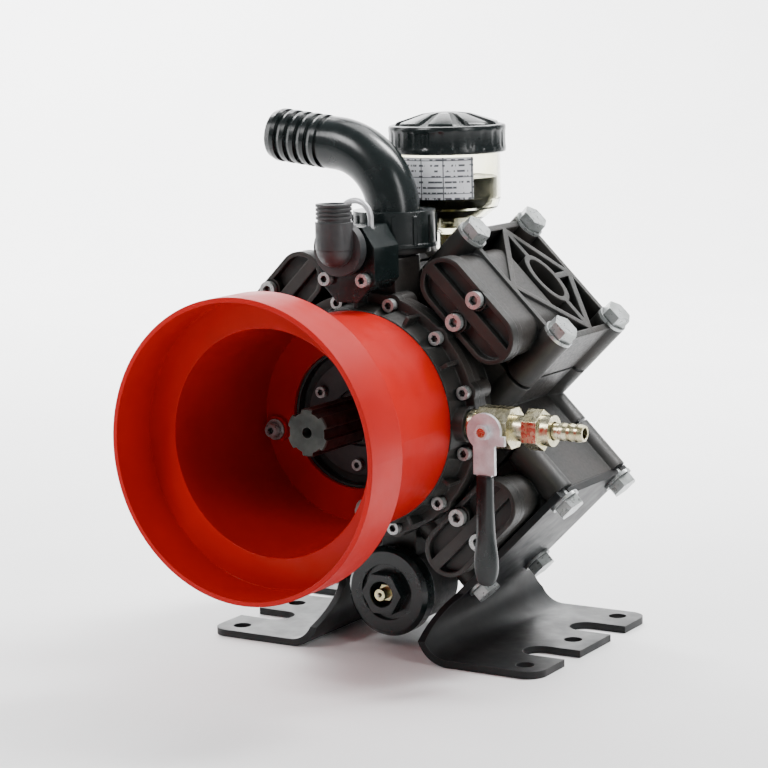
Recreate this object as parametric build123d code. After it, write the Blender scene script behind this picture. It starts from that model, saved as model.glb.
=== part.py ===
from build123d import *
from math import atan2, cos, degrees, pi, radians, sin, sqrt
import os

os.makedirs("parts", exist_ok=True)

# Four-cylinder radial diaphragm pump on two bent-plate feet.
# The sub-parts are drawn about the shaft: Y runs along the shaft (drive end at -Y), Z is up.
# place() then lifts the pump onto the floor plane, with the origin amid the foot bolt holes.

# ---- where the pump stands ----
SHAFT_HEIGHT = 183.0
PUMP_SETBACK = 15.0

# ---- crankcase and the four arms at 45 degrees ----
ARM_ANGLE = {"upper_right": 45.0, "upper_left": -45.0, "lower_right": 135.0, "lower_left": -135.0}
ARM_FACE = 87.0
ARM_HALF_WIDTH = 56.0
ARM_HALF_LENGTH = 54.0
BARREL_R = 80.0
BARREL_BACK = -50.0
CASE_FLANGE_R = 91.5
CASE_FRONT = -92.0
CASE_FLANGE_T = 8.0
CHAMBER_R = 58.0
CHAMBER_BACK = 40.0
CASE_REAR = 62.0
REAR_HUB_R = 52.0

# ---- cover screws round the front rim ----
RIM_SCREWS = 12
RIM_SCREW_START = 15.0
RIM_PCR = 86.0
RIM_BOSS_R = 7.8
M5_R = 2.5
M6_R = 3.0
M5_HEAD_R = 4.25
M5_HEAD_H = 5.0
M6_HEAD_R = 5.0
M6_HEAD_H = 6.0
M8_HEAD_R = 6.5
M8_HEAD_H = 8.0
M8_R = 4.0
M12_R = 6.0
THREAD_GAP = 0.05

# ---- cylinder heads ----
DIAPHRAGM_T = 2.5
DIAPHRAGM_R = 54.0
HEAD_DEPTH = 44.0
HEAD_HALF_WIDTH = 56.0
HEAD_HALF_LENGTH = 50.0
BOLT_X = 50.0
BOLT_Y = 45.0
BOLT_BOSS_R = 12.0
BOLT_REACH = 22.0
BOLT_CLEARANCE = 0.5
HEAD_WALL = 5.0
POCKET_DEPTH = 19.0
RIB_T = 5.0
OVAL_Y = 8.0
OVAL_LONG = 19.0
OVAL_SHORT = 12.0
OVAL_WALL = 4.5
OVAL_DEPTH = 17.0
CAVITY_R = 44.0
CAVITY_DEPTH = 12.0

# ---- valve chambers and their oval covers ----
LID_LENGTH = 92.0
LID_WIDTH = 39.0
LID_T = 9.0
LID_RIM = 3.5
LID_WEB = 9.0
LID_POCKET = 6.5
LID_SEAT_DROP = 3.0
LID_SCREW_OFFSET = 12.0
LID_BOSS_R = 8.4
CHAMBER_NOSE = -84.0
BULGE_BACK = -12.0
VALVE_X = 24.0
VALVE_BORE_R = 14.5
CARTRIDGE_R = 14.4
CARTRIDGE_L = 22.0
CARTRIDGE_SETBACK = 2.0
SEAT_T = 3.5
SEAT_BORE_R = 8.5
CAGE_WALL = 2.0
CAGE_END_T = 2.0
POPPET_R = 11.0
POPPET_T = 2.5
POPPET_STEM_R = 2.2
SPRING_R = 6.0
SPRING_WIRE_R = 0.7
SPRING_COILS = 5
FLOW_HOLE_R = 2.8
FLOW_HOLES_AT = 7.5
RELIEF_R = 11.5
RELIEF_L = 6.0
PASSAGE_R = 6.0

# ---- running clearances ----
BODY_GAP = 0.3
RUN_GAP = 0.05

# ---- crankshaft, bearings and pistons ----
SPLINE_R = 17.4
SPLINE_ROOT_R = 14.6
SPLINE_TOOTH = 8.7
SPLINES = 6
SHAFT_FRONT = -184.0
SPLINE_BACK = -116.0
SEAL_JOURNAL_R = 19.0
FRONT_JOURNAL_R = 20.0
FRONT_BEARING_R = 36.0
FRONT_BEARING_AT = -78.5
FRONT_BEARING_W = 18.0
REAR_JOURNAL_R = 15.0
REAR_BEARING_R = 31.0
REAR_BEARING_AT = 52.0
REAR_BEARING_W = 16.0
SHOULDER_R = 23.0
THROW = 6.0
ECCENTRIC_R = 30.0
ECCENTRIC_HALF = 27.0
RING_R = 38.0
RING_HALF = 25.0
CENTRE_HOLE_R = 4.0
CENTRE_HOLE_DEPTH = 14.0
PISTON_R = 30.0
PISTON_CROWN = 76.0
PISTON_FOOT_R = 20.0
LINER_WALL = 4.0
LINER_TOP = 80.0
OIL_CHAMBER_R = 46.0
PISTON_STEM_R = 12.0
DISC_R = 26.0
DISC_T = 3.0
DISC_SCREW_R = 4.0
DISC_SCREW_HEAD_R = 8.0
DISC_SCREW_HEAD_T = 2.0
BALL_CAGE_T = 2.4
BALL_CAGE_RIM = 2.0
BALLS = 9

# ---- front cover ----
COVER_FLANGE_T = 8.0
COVER_FACE = -118.0
COVER_CONE_R = 84.0
COVER_NOSE_R = 81.0
COVER_RECESS_R = 50.0
COVER_RECESS_FLOOR = -110.0
COVER_HUB_R = 44.0
COVER_HUB_BACK = -64.0
COVER_RIBS = 12
SEAL_R = 30.0
SEAL_T = 12.0
RETAINER_R = 43.0
RETAINER_T = 3.5
RETAINER_SCREWS = 6
RETAINER_PCR = 35.0
RETAINER_BORE_R = 21.5

# ---- drive guard ----
GUARD_FRONT = -270.0
GUARD_STEP = -228.0
GUARD_BAND_R = 107.0
GUARD_NECK_R = 84.5
GUARD_TAIL_R = 80.0
GUARD_WALL = 3.5
GUARD_HOLE_R = 52.0
GUARD_SCREWS = 4
GUARD_SCREW_START = 10.0
GUARD_SCREW_PCR = 67.0
GUARD_BOSS_R = 10.0
GUARD_BOSS_T = 4.0
WASHER_T = 1.6

# ---- rear cover ----
REAR_COVER_T = 8.0
REAR_SCREWS = 8
REAR_PCR = 43.0

# ---- suction port, ring nut and elbow ----
SUCTION_Y = -57.0
SUCTION_NECK_R = 18.4
SUCTION_BORE_R = 14.5
SUCTION_COLLAR_R = 27.0
SUCTION_COLLAR_Z = 117.5
SUCTION_TOP_Z = 140.0
RING_NUT_R = 31.0
RING_NUT_LOW_Z = 122.0
RING_NUT_TOP_Z = 149.0
RING_NUT_LIP_T = 4.0
RING_NUT_RIBS = 12
ELBOW_R = 20.0
ELBOW_FLANGE_R = 26.5
ELBOW_LEG_Z = 144.3
ELBOW_BEND_R = 54.0
ELBOW_SWEEP = 83.0
ELBOW_ARM = 56.0
ELBOW_HEADING = -90.0
BARB_ROOT_R = 18.4
BARB_R = 20.3
BARB_LANDS = 5
BARB_PITCH = 9.0
BARB_LAND = 3.6

# ---- delivery block, outlet elbow and its wire clip ----
BLOCK_FRONT = -126.0
BLOCK_LOW_Z = 87.0
BLOCK_TOP_Z = 142.0
BLOCK_HALF = 24.0
BLOCK_SCREW_X = 16.0
BLOCK_SCREW_Z = 104.0
OUTLET_Z = 127.0
SPIGOT_R = 12.5
SPIGOT_BACK = -98.0
SPIGOT_GROOVE_R = 10.5
OUTLET_BORE_R = 8.0
OUTLET_PIPE_Y = -141.0
OUTLET_PIPE_R = 13.2
OUTLET_ROOT_R = 12.2
OUTLET_RISE = 33.0
OUTLET_LANDS = 4
OUTLET_PITCH = 3.0
OUTLET_LAND = 1.8
COLLAR_R = 20.0
COLLAR_FRONT = -138.0
COLLAR_BACK = -130.0
CLIP_Y = -112.0
CLIP_X = 13.1
CLIP_WIRE_R = 2.2
CLIP_TOP_Z = 160.0
CLIP_FOOT_Z = 112.0

# ---- oil cup ----
CUP_Y = 25.0
CUP_R = 41.0
CUP_WALL = 2.0
CUP_NECK_R = 10.0
CUP_NECK_Z = 112.0
CUP_SHOULDER_Z = 124.0
CUP_SIDE_Z = 147.0
CUP_TOP_Z = 192.0
NIPPLE_R = 6.0
NIPPLE_HEX = 17.0
NIPPLE_LOW_Z = 88.0
NIPPLE_FACE_Z = 94.0
CAP_R = 46.0
CAP_LOW_Z = 187.0
CAP_PLATE_T = 6.0
CAP_RIBS = 20
CAP_FACETS = 8
GASKET_T = 2.0

# ---- ball valve ----
COCK_Y = -105.0
COCK_BOSS_R = 13.0
COCK_BOSS_X = 90.0
COCK_BALL_X = 113.0
COCK_BODY_R = 14.5
COCK_BODY_HALF = 13.0
COCK_NECK_R = 9.5
COCK_BORE_R = 6.0
BALL_R = 10.0
STEM_R = 3.5
GLAND_R = 8.0
GLAND_REACH = 17.0
LEVER_AT = 21.0
LEVER_T = 3.0
LEVER_WIDTH = 17.0
LEVER_HEAD_R = 13.5
LEVER_REACH = 112.0
GRIP_START = 31.0
GRIP_WIDTH = 17.0
GRIP_DEPTH = 9.0
UNION_START = 137.0
UNION_END = 157.0
UNION_HEX = 26.0
TAIL_END = 181.0
TAIL_R = 6.5
TAIL_ROOT_R = 5.7
TAIL_BORE_R = 4.0
TAIL_STEP = 0.6
TAIL_LANDS = 3
TAIL_PITCH = 6.0
TAIL_LAND = 2.4

# ---- pulsation damper ----
DAMPER_DROP = 140.0
DAMPER_R = 34.5
DAMPER_FRONT = -80.0
DAMPER_BACK = -66.0
DAMPER_HOUSING_R = 30.0
DAMPER_HOUSING_BACK = -22.0
DAMPER_BORE_R = 23.0
DAMPER_HEX = 30.0
DAMPER_HEX_FRONT = -88.0
DAMPER_HOLE_R = 10.0
AIR_BODY_R = 4.5
AIR_FRONT = -90.0
AIR_PIN_R = 1.0
AIR_PIN_FRONT = -92.0

# ---- feet ----
FOOT_T = 5.5
FOOT_EDGE = 62.0
FOOT_HALF_Y = 95.0
FOOT_TOP_HALF_Y = 58.0
FOOT_TIP_X = 144.0
FOOT_HOLE_X = 125.0
FOOT_HOLE_PITCH = 78.0
FOOT_HOLE_R = 7.0
FOOT_SLOT_W = 26.0
FOOT_SLOT_X = 104.0

# ---- fasteners ----
HEX_AF = 19.0
HEX_H = 8.0
BIG_WASHER_R = 12.0
BIG_WASHER_T = 2.5

# ---- derived sizes ----
ROOT2 = sqrt(2.0)
HEAD_SEAT = ARM_FACE + DIAPHRAGM_T
HEAD_TOP = HEAD_SEAT + HEAD_DEPTH
VALVE_Z = HEAD_TOP - LID_WIDTH / 2
LID_FRONT = CHAMBER_NOSE - LID_T
LID_SEAT = LID_FRONT + LID_SEAT_DROP
VALVE_FRONT = CHAMBER_NOSE + CARTRIDGE_SETBACK
VALVE_BACK = VALVE_FRONT + CARTRIDGE_L
CASE_FLANGE_BACK = CASE_FRONT + CASE_FLANGE_T
COVER_FRONT = CASE_FRONT - COVER_FLANGE_T
LINER_R = PISTON_R + LINER_WALL
PISTON_FOOT = RING_R + 2 * THROW + 1.0
LINER_FOOT = PISTON_FOOT - 5.0
FLOOR_Z = -SHAFT_HEIGHT
FOOT_FRONT = -PUMP_SETBACK - FOOT_HALF_Y
FOOT_BACK = -PUMP_SETBACK + FOOT_HALF_Y
CAP_TOP_Z = CUP_TOP_Z + GASKET_T + 2 * BODY_GAP + 14.0 + CAP_PLATE_T
DAMPER_Z = -DAMPER_DROP


def cyl_x(r, x0, x1, y=0.0, z=0.0):
    return Pos((x0 + x1) / 2, y, z) * Rot(0, 90, 0) * Cylinder(r, x1 - x0)


def cyl_y(r, y0, y1, x=0.0, z=0.0):
    return Pos(x, (y0 + y1) / 2, z) * Rot(90, 0, 0) * Cylinder(r, y1 - y0)


def cyl_z(r, z0, z1, x=0.0, y=0.0):
    return Pos(x, y, (z0 + z1) / 2) * Cylinder(r, z1 - z0)


def block(x0, x1, y0, y1, z0, z1):
    middle = Pos((x0 + x1) / 2, (y0 + y1) / 2, (z0 + z1) / 2)
    return middle * Box(x1 - x0, y1 - y0, z1 - z0)


def slab_y(sketch, y0, y1):
    """Extrude a sketch drawn in X and Z between two stations along the shaft."""
    return extrude(Plane.XZ.offset(-y1) * sketch, y1 - y0)


def slab_z(sketch, z0, z1):
    return extrude(Plane.XY.offset(z0) * sketch, z1 - z0)


def turned_y(points, x=0.0, z=0.0):
    """Revolve a closed (radius, y) outline about an axis along the shaft."""
    outline = make_face(Polyline(*points, close=True))
    return Pos(x, 0, z) * revolve(outline, Axis.Y)


def turned_z(points, x=0.0, y=0.0):
    outline = make_face(Plane.XZ * Polyline(*points, close=True))
    return Pos(x, y, 0) * revolve(outline, Axis.Z)


def ring_places(count, radius, start=0.0):
    angles = [radians(start + 360.0 * k / count) for k in range(count)]
    return [(radius * cos(a), radius * sin(a)) for a in angles]


def hexagon(across_flats):
    return RegularPolygon(across_flats / sqrt(3.0), 6)


def cap_screw(r, length, head_r, head_h):
    """Socket-cap screw along Y: the head stands forward of y=0 and the shank runs back."""
    socket = slab_y(hexagon(head_r), -head_h - 1, -head_h * 0.45)
    return cyl_y(r, 0, length) + (cyl_y(head_r, -head_h, 0) - socket)


def hex_bolt(seat_z, foot_z):
    """Hex bolt and washer along Z, its washer resting on the seat."""
    top = seat_z + BIG_WASHER_T
    washer = cyl_z(BIG_WASHER_R, seat_z, top) - cyl_z(M12_R + BOLT_CLEARANCE, seat_z - 1, top + 1)
    head = slab_z(hexagon(HEX_AF), top, top + HEX_H)
    head = head & Pos(0, 0, top + HEX_H - HEX_AF * 0.62) * Sphere(HEX_AF * 0.83)
    return [cyl_z(M12_R, foot_z, top + 0.5) + head, washer]


def on_arm(name, shape):
    return Rot(0, ARM_ANGLE[name], 0) * shape


def place(shape):
    return Pos(0, PUMP_SETBACK, SHAFT_HEIGHT) * shape


def save(name, solids):
    group = solids if isinstance(solids, list) else [solids]
    placed = [place(s) for s in group]
    shape = placed[0] if len(placed) == 1 else Compound(children=placed)
    export_step(shape, f"parts/{name}.step")


def bolt_places():
    return [(sx * BOLT_X, sy * BOLT_Y) for sx in (-1, 1) for sy in (-1, 1)]


def crankcase():
    arms = block(-ARM_HALF_WIDTH, ARM_HALF_WIDTH, -ARM_HALF_LENGTH, ARM_HALF_LENGTH,
                 -ARM_FACE, ARM_FACE)
    for x, y in bolt_places():
        arms += cyl_z(BOLT_BOSS_R, -ARM_FACE, ARM_FACE, x, y)
    body = Rot(0, 45, 0) * arms + Rot(0, -45, 0) * arms
    body += cyl_y(BARREL_R, CASE_FRONT, BARREL_BACK)
    body += cyl_y(CASE_FLANGE_R, CASE_FRONT, CASE_FLANGE_BACK)
    body += cyl_y(REAR_HUB_R, CHAMBER_BACK, CASE_REAR)
    for x, z in ring_places(RIM_SCREWS, RIM_PCR, RIM_SCREW_START):
        body += cyl_y(RIM_BOSS_R, CASE_FRONT, CASE_FLANGE_BACK + 8.0, x, z)
    body += cyl_z(SUCTION_NECK_R, BARREL_R * 0.8, SUCTION_TOP_Z, 0, SUCTION_Y)
    body += cyl_z(SUCTION_COLLAR_R, SUCTION_COLLAR_Z, SUCTION_TOP_Z, 0, SUCTION_Y)
    body += block(-BLOCK_HALF + 3, BLOCK_HALF - 3, CASE_FRONT, SUCTION_Y, BARREL_R * 0.8,
                  SUCTION_COLLAR_Z - 2)
    body += cyl_z(NIPPLE_R + 5, BARREL_R * 0.8, NIPPLE_FACE_Z - 2, 0, CUP_Y)
    body += cyl_y(DAMPER_HOUSING_R, DAMPER_BACK, DAMPER_HOUSING_BACK, 0, DAMPER_Z)
    body += block(-15, 15, DAMPER_BACK + 6, DAMPER_HOUSING_BACK - 2, DAMPER_Z, -BARREL_R * 0.8)
    body -= cyl_y(CHAMBER_R, CASE_FRONT - 1, CHAMBER_BACK)
    body -= cyl_y(REAR_BEARING_R, CHAMBER_BACK - 1, CASE_REAR + 1)
    for name in ARM_ANGLE:
        cut = cyl_z(LINER_R, LINER_FOOT, LINER_TOP + 1)
        cut += cyl_z(OIL_CHAMBER_R, LINER_TOP, ARM_FACE + 1)
        for x, y in bolt_places():
            cut += cyl_z(M12_R + THREAD_GAP, ARM_FACE - BOLT_REACH - 2, ARM_FACE + 1, x, y)
        body -= on_arm(name, cut)
    for x, z in ring_places(RIM_SCREWS, RIM_PCR, RIM_SCREW_START):
        body -= cyl_y(M6_R + THREAD_GAP, CASE_FRONT - 1, CASE_FRONT + 13, x, z)
    for x, z in ring_places(REAR_SCREWS, REAR_PCR, RIM_SCREW_START):
        body -= cyl_y(M6_R + THREAD_GAP, CASE_REAR - 14, CASE_REAR + 1, x, z)
    body -= cyl_z(SUCTION_BORE_R, BARREL_R * 0.9, SUCTION_TOP_Z + 1, 0, SUCTION_Y)
    for x in (-BLOCK_SCREW_X, BLOCK_SCREW_X):
        body -= cyl_y(M6_R + THREAD_GAP, CASE_FRONT - 1, CASE_FRONT + 13, x, BLOCK_SCREW_Z)
    body -= cyl_z(NIPPLE_R + THREAD_GAP, NIPPLE_LOW_Z - 8, NIPPLE_FACE_Z, 0, CUP_Y)
    body -= cyl_z(NIPPLE_R - 3, CHAMBER_R * 0.8, NIPPLE_FACE_Z, 0, CUP_Y)
    body -= cyl_y(DAMPER_BORE_R, DAMPER_BACK - 1, DAMPER_HOUSING_BACK - 6, 0, DAMPER_Z)
    return body


def front_cover():
    body = cyl_y(CASE_FLANGE_R, COVER_FRONT, CASE_FRONT)
    for x, z in ring_places(RIM_SCREWS, RIM_PCR, RIM_SCREW_START):
        body += cyl_y(RIM_BOSS_R, COVER_FRONT, CASE_FRONT, x, z)
    body += turned_y([(0, COVER_FRONT + 1), (COVER_CONE_R, COVER_FRONT + 1),
                      (COVER_CONE_R, COVER_FRONT), (COVER_NOSE_R, COVER_FACE), (0, COVER_FACE)])
    body += cyl_y(COVER_HUB_R, CASE_FRONT - 1, COVER_HUB_BACK)
    body += cyl_y(CHAMBER_R - RUN_GAP, CASE_FRONT - 1, CASE_FRONT + 5)
    rib = block(COVER_NOSE_R - 4, CASE_FLANGE_R - 3, COVER_FACE + 3, COVER_FRONT + 1, -1.5, 1.5)
    for k in range(COVER_RIBS):
        body += Rot(0, 360.0 * k / COVER_RIBS + 30, 0) * rib
    body += cyl_x(COCK_BOSS_R, COVER_CONE_R * 0.8, COCK_BOSS_X, COCK_Y, 0)
    body -= cyl_y(COVER_RECESS_R, COVER_FACE - 1, COVER_RECESS_FLOOR)
    body -= cyl_y(SEAL_R, COVER_RECESS_FLOOR - 1, COVER_RECESS_FLOOR + SEAL_T)
    bearing_front = FRONT_BEARING_AT - FRONT_BEARING_W / 2
    body -= cyl_y(RETAINER_BORE_R + 2, COVER_RECESS_FLOOR, bearing_front + 1)
    body -= cyl_y(FRONT_BEARING_R, bearing_front, COVER_HUB_BACK + 1)
    for x, z in ring_places(RIM_SCREWS, RIM_PCR, RIM_SCREW_START):
        body -= cyl_y(M6_R + 0.3, COVER_FACE, CASE_FRONT + 1, x, z)
        body -= cyl_y(M6_R * 2, COVER_FACE, COVER_FRONT, x, z)
    for x, z in ring_places(GUARD_SCREWS, GUARD_SCREW_PCR, GUARD_SCREW_START):
        body -= cyl_y(M6_R + THREAD_GAP, COVER_FACE - 1, COVER_FACE + 14, x, z)
    for x, z in ring_places(RETAINER_SCREWS, RETAINER_PCR, 90.0):
        body -= cyl_y(M5_R + THREAD_GAP, COVER_RECESS_FLOOR - 1, COVER_RECESS_FLOOR + 10, x, z)
    body -= cyl_x(COCK_NECK_R + THREAD_GAP, COCK_BOSS_X - 14, COCK_BOSS_X + 5, COCK_Y, 0)
    body -= cyl_x(COCK_BORE_R, COVER_RECESS_R + 10, COCK_BOSS_X, COCK_Y, 0)
    return body


def rim_screws():
    screw = cap_screw(M6_R, COVER_FLANGE_T + 12, M6_HEAD_R, M6_HEAD_H)
    places = ring_places(RIM_SCREWS, RIM_PCR, RIM_SCREW_START)
    return [Pos(x, COVER_FRONT, z) * screw for x, z in places]


def seal_retainer():
    back = COVER_RECESS_FLOOR
    front = back - RETAINER_T
    plate = cyl_y(RETAINER_R, front, back) - cyl_y(RETAINER_BORE_R, front - 1, back + 1)
    for x, z in ring_places(RETAINER_SCREWS, RETAINER_PCR, 90.0):
        plate -= cyl_y(M5_R + 0.3, front - 1, back + 1, x, z)
    return plate


def retainer_screws():
    screw = cap_screw(M5_R, RETAINER_T + 9, M5_HEAD_R, M5_HEAD_H)
    places = ring_places(RETAINER_SCREWS, RETAINER_PCR, 90.0)
    return [Pos(x, COVER_RECESS_FLOOR - RETAINER_T, z) * screw for x, z in places]


def shaft_seal():
    back = COVER_RECESS_FLOOR + SEAL_T
    inner = SEAL_JOURNAL_R + RUN_GAP
    seal = cyl_y(SEAL_R, COVER_RECESS_FLOOR, back) - cyl_y(inner, COVER_RECESS_FLOOR - 1, back + 1)
    lip_room = cyl_y(SEAL_R - 5, COVER_RECESS_FLOOR + 3, back + 1)
    lip_room -= cyl_y(SEAL_JOURNAL_R + 2.5, COVER_RECESS_FLOOR, back + 2)
    return seal - lip_room


def rear_cover():
    body = cyl_y(REAR_HUB_R, CASE_REAR, CASE_REAR + REAR_COVER_T)
    body += cyl_y(REAR_BEARING_R - THREAD_GAP, CASE_REAR - 1.5, CASE_REAR)
    body += cyl_y(REAR_HUB_R * 0.5, CASE_REAR, CASE_REAR + REAR_COVER_T + 4)
    body -= cyl_y(REAR_JOURNAL_R + 3, CASE_REAR - 2, CASE_REAR + 2)
    for x, z in ring_places(REAR_SCREWS, REAR_PCR, RIM_SCREW_START):
        body -= cyl_y(M6_R + 0.3, CASE_REAR - 1, CASE_REAR + REAR_COVER_T + 1, x, z)
    return body


def rear_screws():
    screw = Rot(180, 0, 0) * cap_screw(M6_R, REAR_COVER_T + 12, M6_HEAD_R, M6_HEAD_H)
    places = ring_places(REAR_SCREWS, REAR_PCR, RIM_SCREW_START)
    return [Pos(x, CASE_REAR + REAR_COVER_T, z) * screw for x, z in places]


def guard():
    wall_front = COVER_FACE - GUARD_WALL
    shell = turned_y([
        (GUARD_HOLE_R, wall_front), (GUARD_HOLE_R, COVER_FACE), (GUARD_TAIL_R, COVER_FACE),
        (GUARD_NECK_R, GUARD_STEP), (GUARD_BAND_R - 2, GUARD_STEP), (GUARD_BAND_R, GUARD_STEP - 3),
        (GUARD_BAND_R, GUARD_FRONT), (GUARD_BAND_R - GUARD_WALL, GUARD_FRONT),
        (GUARD_BAND_R - GUARD_WALL, GUARD_STEP - GUARD_WALL),
        (GUARD_NECK_R - GUARD_WALL, GUARD_STEP - GUARD_WALL),
        (GUARD_TAIL_R - GUARD_WALL, wall_front)])
    for x, z in ring_places(GUARD_SCREWS, GUARD_SCREW_PCR, GUARD_SCREW_START):
        shell += cyl_y(GUARD_BOSS_R, wall_front - GUARD_BOSS_T, COVER_FACE, x, z)
    for x, z in ring_places(GUARD_SCREWS, GUARD_SCREW_PCR, GUARD_SCREW_START):
        shell -= cyl_y(M6_R + 0.3, wall_front - GUARD_BOSS_T - 1, COVER_FACE + 1, x, z)
    return shell


def guard_screws():
    seat = COVER_FACE - GUARD_WALL - GUARD_BOSS_T
    washer = cyl_y(8.0, -WASHER_T, 0) - cyl_y(M6_R + 0.3, -WASHER_T - 1, 1)
    screw = Pos(0, -WASHER_T, 0) * cap_screw(M6_R, GUARD_WALL + GUARD_BOSS_T + 14, M6_HEAD_R, M6_HEAD_H)
    group = []
    for x, z in ring_places(GUARD_SCREWS, GUARD_SCREW_PCR, GUARD_SCREW_START):
        group.append(Pos(x, seat, z) * screw)
        group.append(Pos(x, seat, z) * washer)
    return group


def bearing(at, width, bore_r, outer_r):
    """Deep-groove ball bearing: the inner ring, the outer ring, its balls and the ball cage."""
    pitch = (bore_r + outer_r) / 2
    third = (outer_r - bore_r) / 3
    ball_r = third
    groove = Pos(0, at, 0) * Rot(90, 0, 0) * Torus(pitch, ball_r + RUN_GAP)
    y0 = at - width / 2
    y1 = at + width / 2
    inner = cyl_y(bore_r + third * 1.05, y0, y1) - cyl_y(bore_r, y0 - 1, y1 + 1) - groove
    outer = cyl_y(outer_r, y0, y1) - cyl_y(outer_r - third * 1.05, y0 - 1, y1 + 1) - groove
    spots = ring_places(BALLS, pitch)
    balls = [Pos(x, at, z) * Sphere(ball_r) for x, z in spots]
    side = ball_r + BALL_CAGE_RIM
    cage = cyl_y(pitch + BALL_CAGE_T / 2, at - side, at + side)
    cage -= cyl_y(pitch - BALL_CAGE_T / 2, at - side - 1, at + side + 1)
    for x, z in spots:
        pocket = Rot(0, degrees(atan2(x, z)), 0) * Cylinder(ball_r + RUN_GAP, 3 * BALL_CAGE_T)
        cage -= Pos(x, at, z) * pocket
    return inner, outer, balls, cage


def crankshaft():
    teeth = Circle(SPLINE_ROOT_R)
    for k in range(SPLINES // 2):
        teeth += Rot(0, 0, 180.0 * k / (SPLINES // 2)) * Rectangle(SPLINE_TOOTH, 2.2 * SPLINE_R)
    teeth = teeth & Circle(SPLINE_R)
    shaft = slab_y(teeth, SHAFT_FRONT, SPLINE_BACK + 2)
    front_edge = FRONT_BEARING_AT - FRONT_BEARING_W / 2
    front_shoulder = FRONT_BEARING_AT + FRONT_BEARING_W / 2
    rear_shoulder = REAR_BEARING_AT - REAR_BEARING_W / 2
    shaft += cyl_y(SEAL_JOURNAL_R, SPLINE_BACK, front_edge)
    shaft += cyl_y(FRONT_JOURNAL_R, front_edge, front_shoulder)
    shaft += cyl_y(SHOULDER_R, front_shoulder, -ECCENTRIC_HALF)
    shaft += cyl_y(ECCENTRIC_R, -ECCENTRIC_HALF, ECCENTRIC_HALF, 0, THROW)
    shaft += cyl_y(REAR_JOURNAL_R + 4, ECCENTRIC_HALF, rear_shoulder)
    shaft += cyl_y(REAR_JOURNAL_R, rear_shoulder, rear_shoulder + REAR_BEARING_W)
    shaft -= cyl_y(CENTRE_HOLE_R, SHAFT_FRONT - 1, SHAFT_FRONT + CENTRE_HOLE_DEPTH)
    nose = turned_y([(SPLINE_R - 2, SHAFT_FRONT - 1), (SPLINE_R + 2, SHAFT_FRONT - 1),
                     (SPLINE_R + 2, SHAFT_FRONT + 3)])
    return shaft - nose


def eccentric_ring():
    ring = cyl_y(RING_R, -RING_HALF, RING_HALF, 0, THROW)
    return ring - cyl_y(ECCENTRIC_R + RUN_GAP, -RING_HALF - 1, RING_HALF + 1, 0, THROW)


def piston():
    barrel_foot = PISTON_FOOT + 2
    disc_top = ARM_FACE - BODY_GAP
    body = cyl_z(PISTON_R - RUN_GAP, barrel_foot, PISTON_CROWN)
    body -= cyl_z(PISTON_R - 6, barrel_foot + 8, PISTON_CROWN - 5)
    body += cyl_z(PISTON_FOOT_R, PISTON_FOOT, barrel_foot)
    body += cyl_z(PISTON_STEM_R, PISTON_CROWN - 6, disc_top)
    body += cyl_z(DISC_R, disc_top - DISC_T, disc_top)
    low = disc_top + BODY_GAP + DIAPHRAGM_T + BODY_GAP
    body += cyl_z(DISC_SCREW_R, disc_top - 1, low)
    washer = cyl_z(DISC_R, low, low + DISC_T)
    head_top = low + DISC_T + DISC_SCREW_HEAD_T
    washer += cyl_z(DISC_SCREW_HEAD_R, low, head_top)
    socket = slab_z(hexagon(6.0), head_top - 3, head_top + 1)
    return body + (washer - socket)


def liner():
    tube = cyl_z(LINER_R, LINER_FOOT, LINER_TOP)
    return tube - cyl_z(PISTON_R, LINER_FOOT - 1, LINER_TOP + 1)


def diaphragm():
    sheet = cyl_z(DIAPHRAGM_R, ARM_FACE, HEAD_SEAT)
    return sheet - cyl_z(DISC_SCREW_R + BODY_GAP, ARM_FACE - 1, HEAD_SEAT + 1)


def head_pockets():
    field = Rectangle(2 * (HEAD_HALF_WIDTH - HEAD_WALL), 2 * (HEAD_HALF_LENGTH - HEAD_WALL))
    for x, y in bolt_places():
        field -= Pos(x, y) * Circle(BOLT_BOSS_R)
        field -= rib_between(0, OVAL_Y, x, y)
    field -= rib_between(0, OVAL_Y, 0, HEAD_HALF_LENGTH)
    field -= rib_between(0, OVAL_Y, -HEAD_HALF_WIDTH, OVAL_Y)
    field -= rib_between(0, OVAL_Y, HEAD_HALF_WIDTH, OVAL_Y)
    return field - Pos(0, OVAL_Y) * Ellipse(OVAL_LONG + OVAL_WALL, OVAL_SHORT + OVAL_WALL)


def rib_between(x0, y0, x1, y1):
    run = sqrt((x1 - x0) ** 2 + (y1 - y0) ** 2)
    turn = Vector(1, 0).get_signed_angle(Vector(x1 - x0, y1 - y0))
    return Pos((x0 + x1) / 2, (y0 + y1) / 2) * Rot(0, 0, turn) * Rectangle(run, RIB_T)


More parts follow.
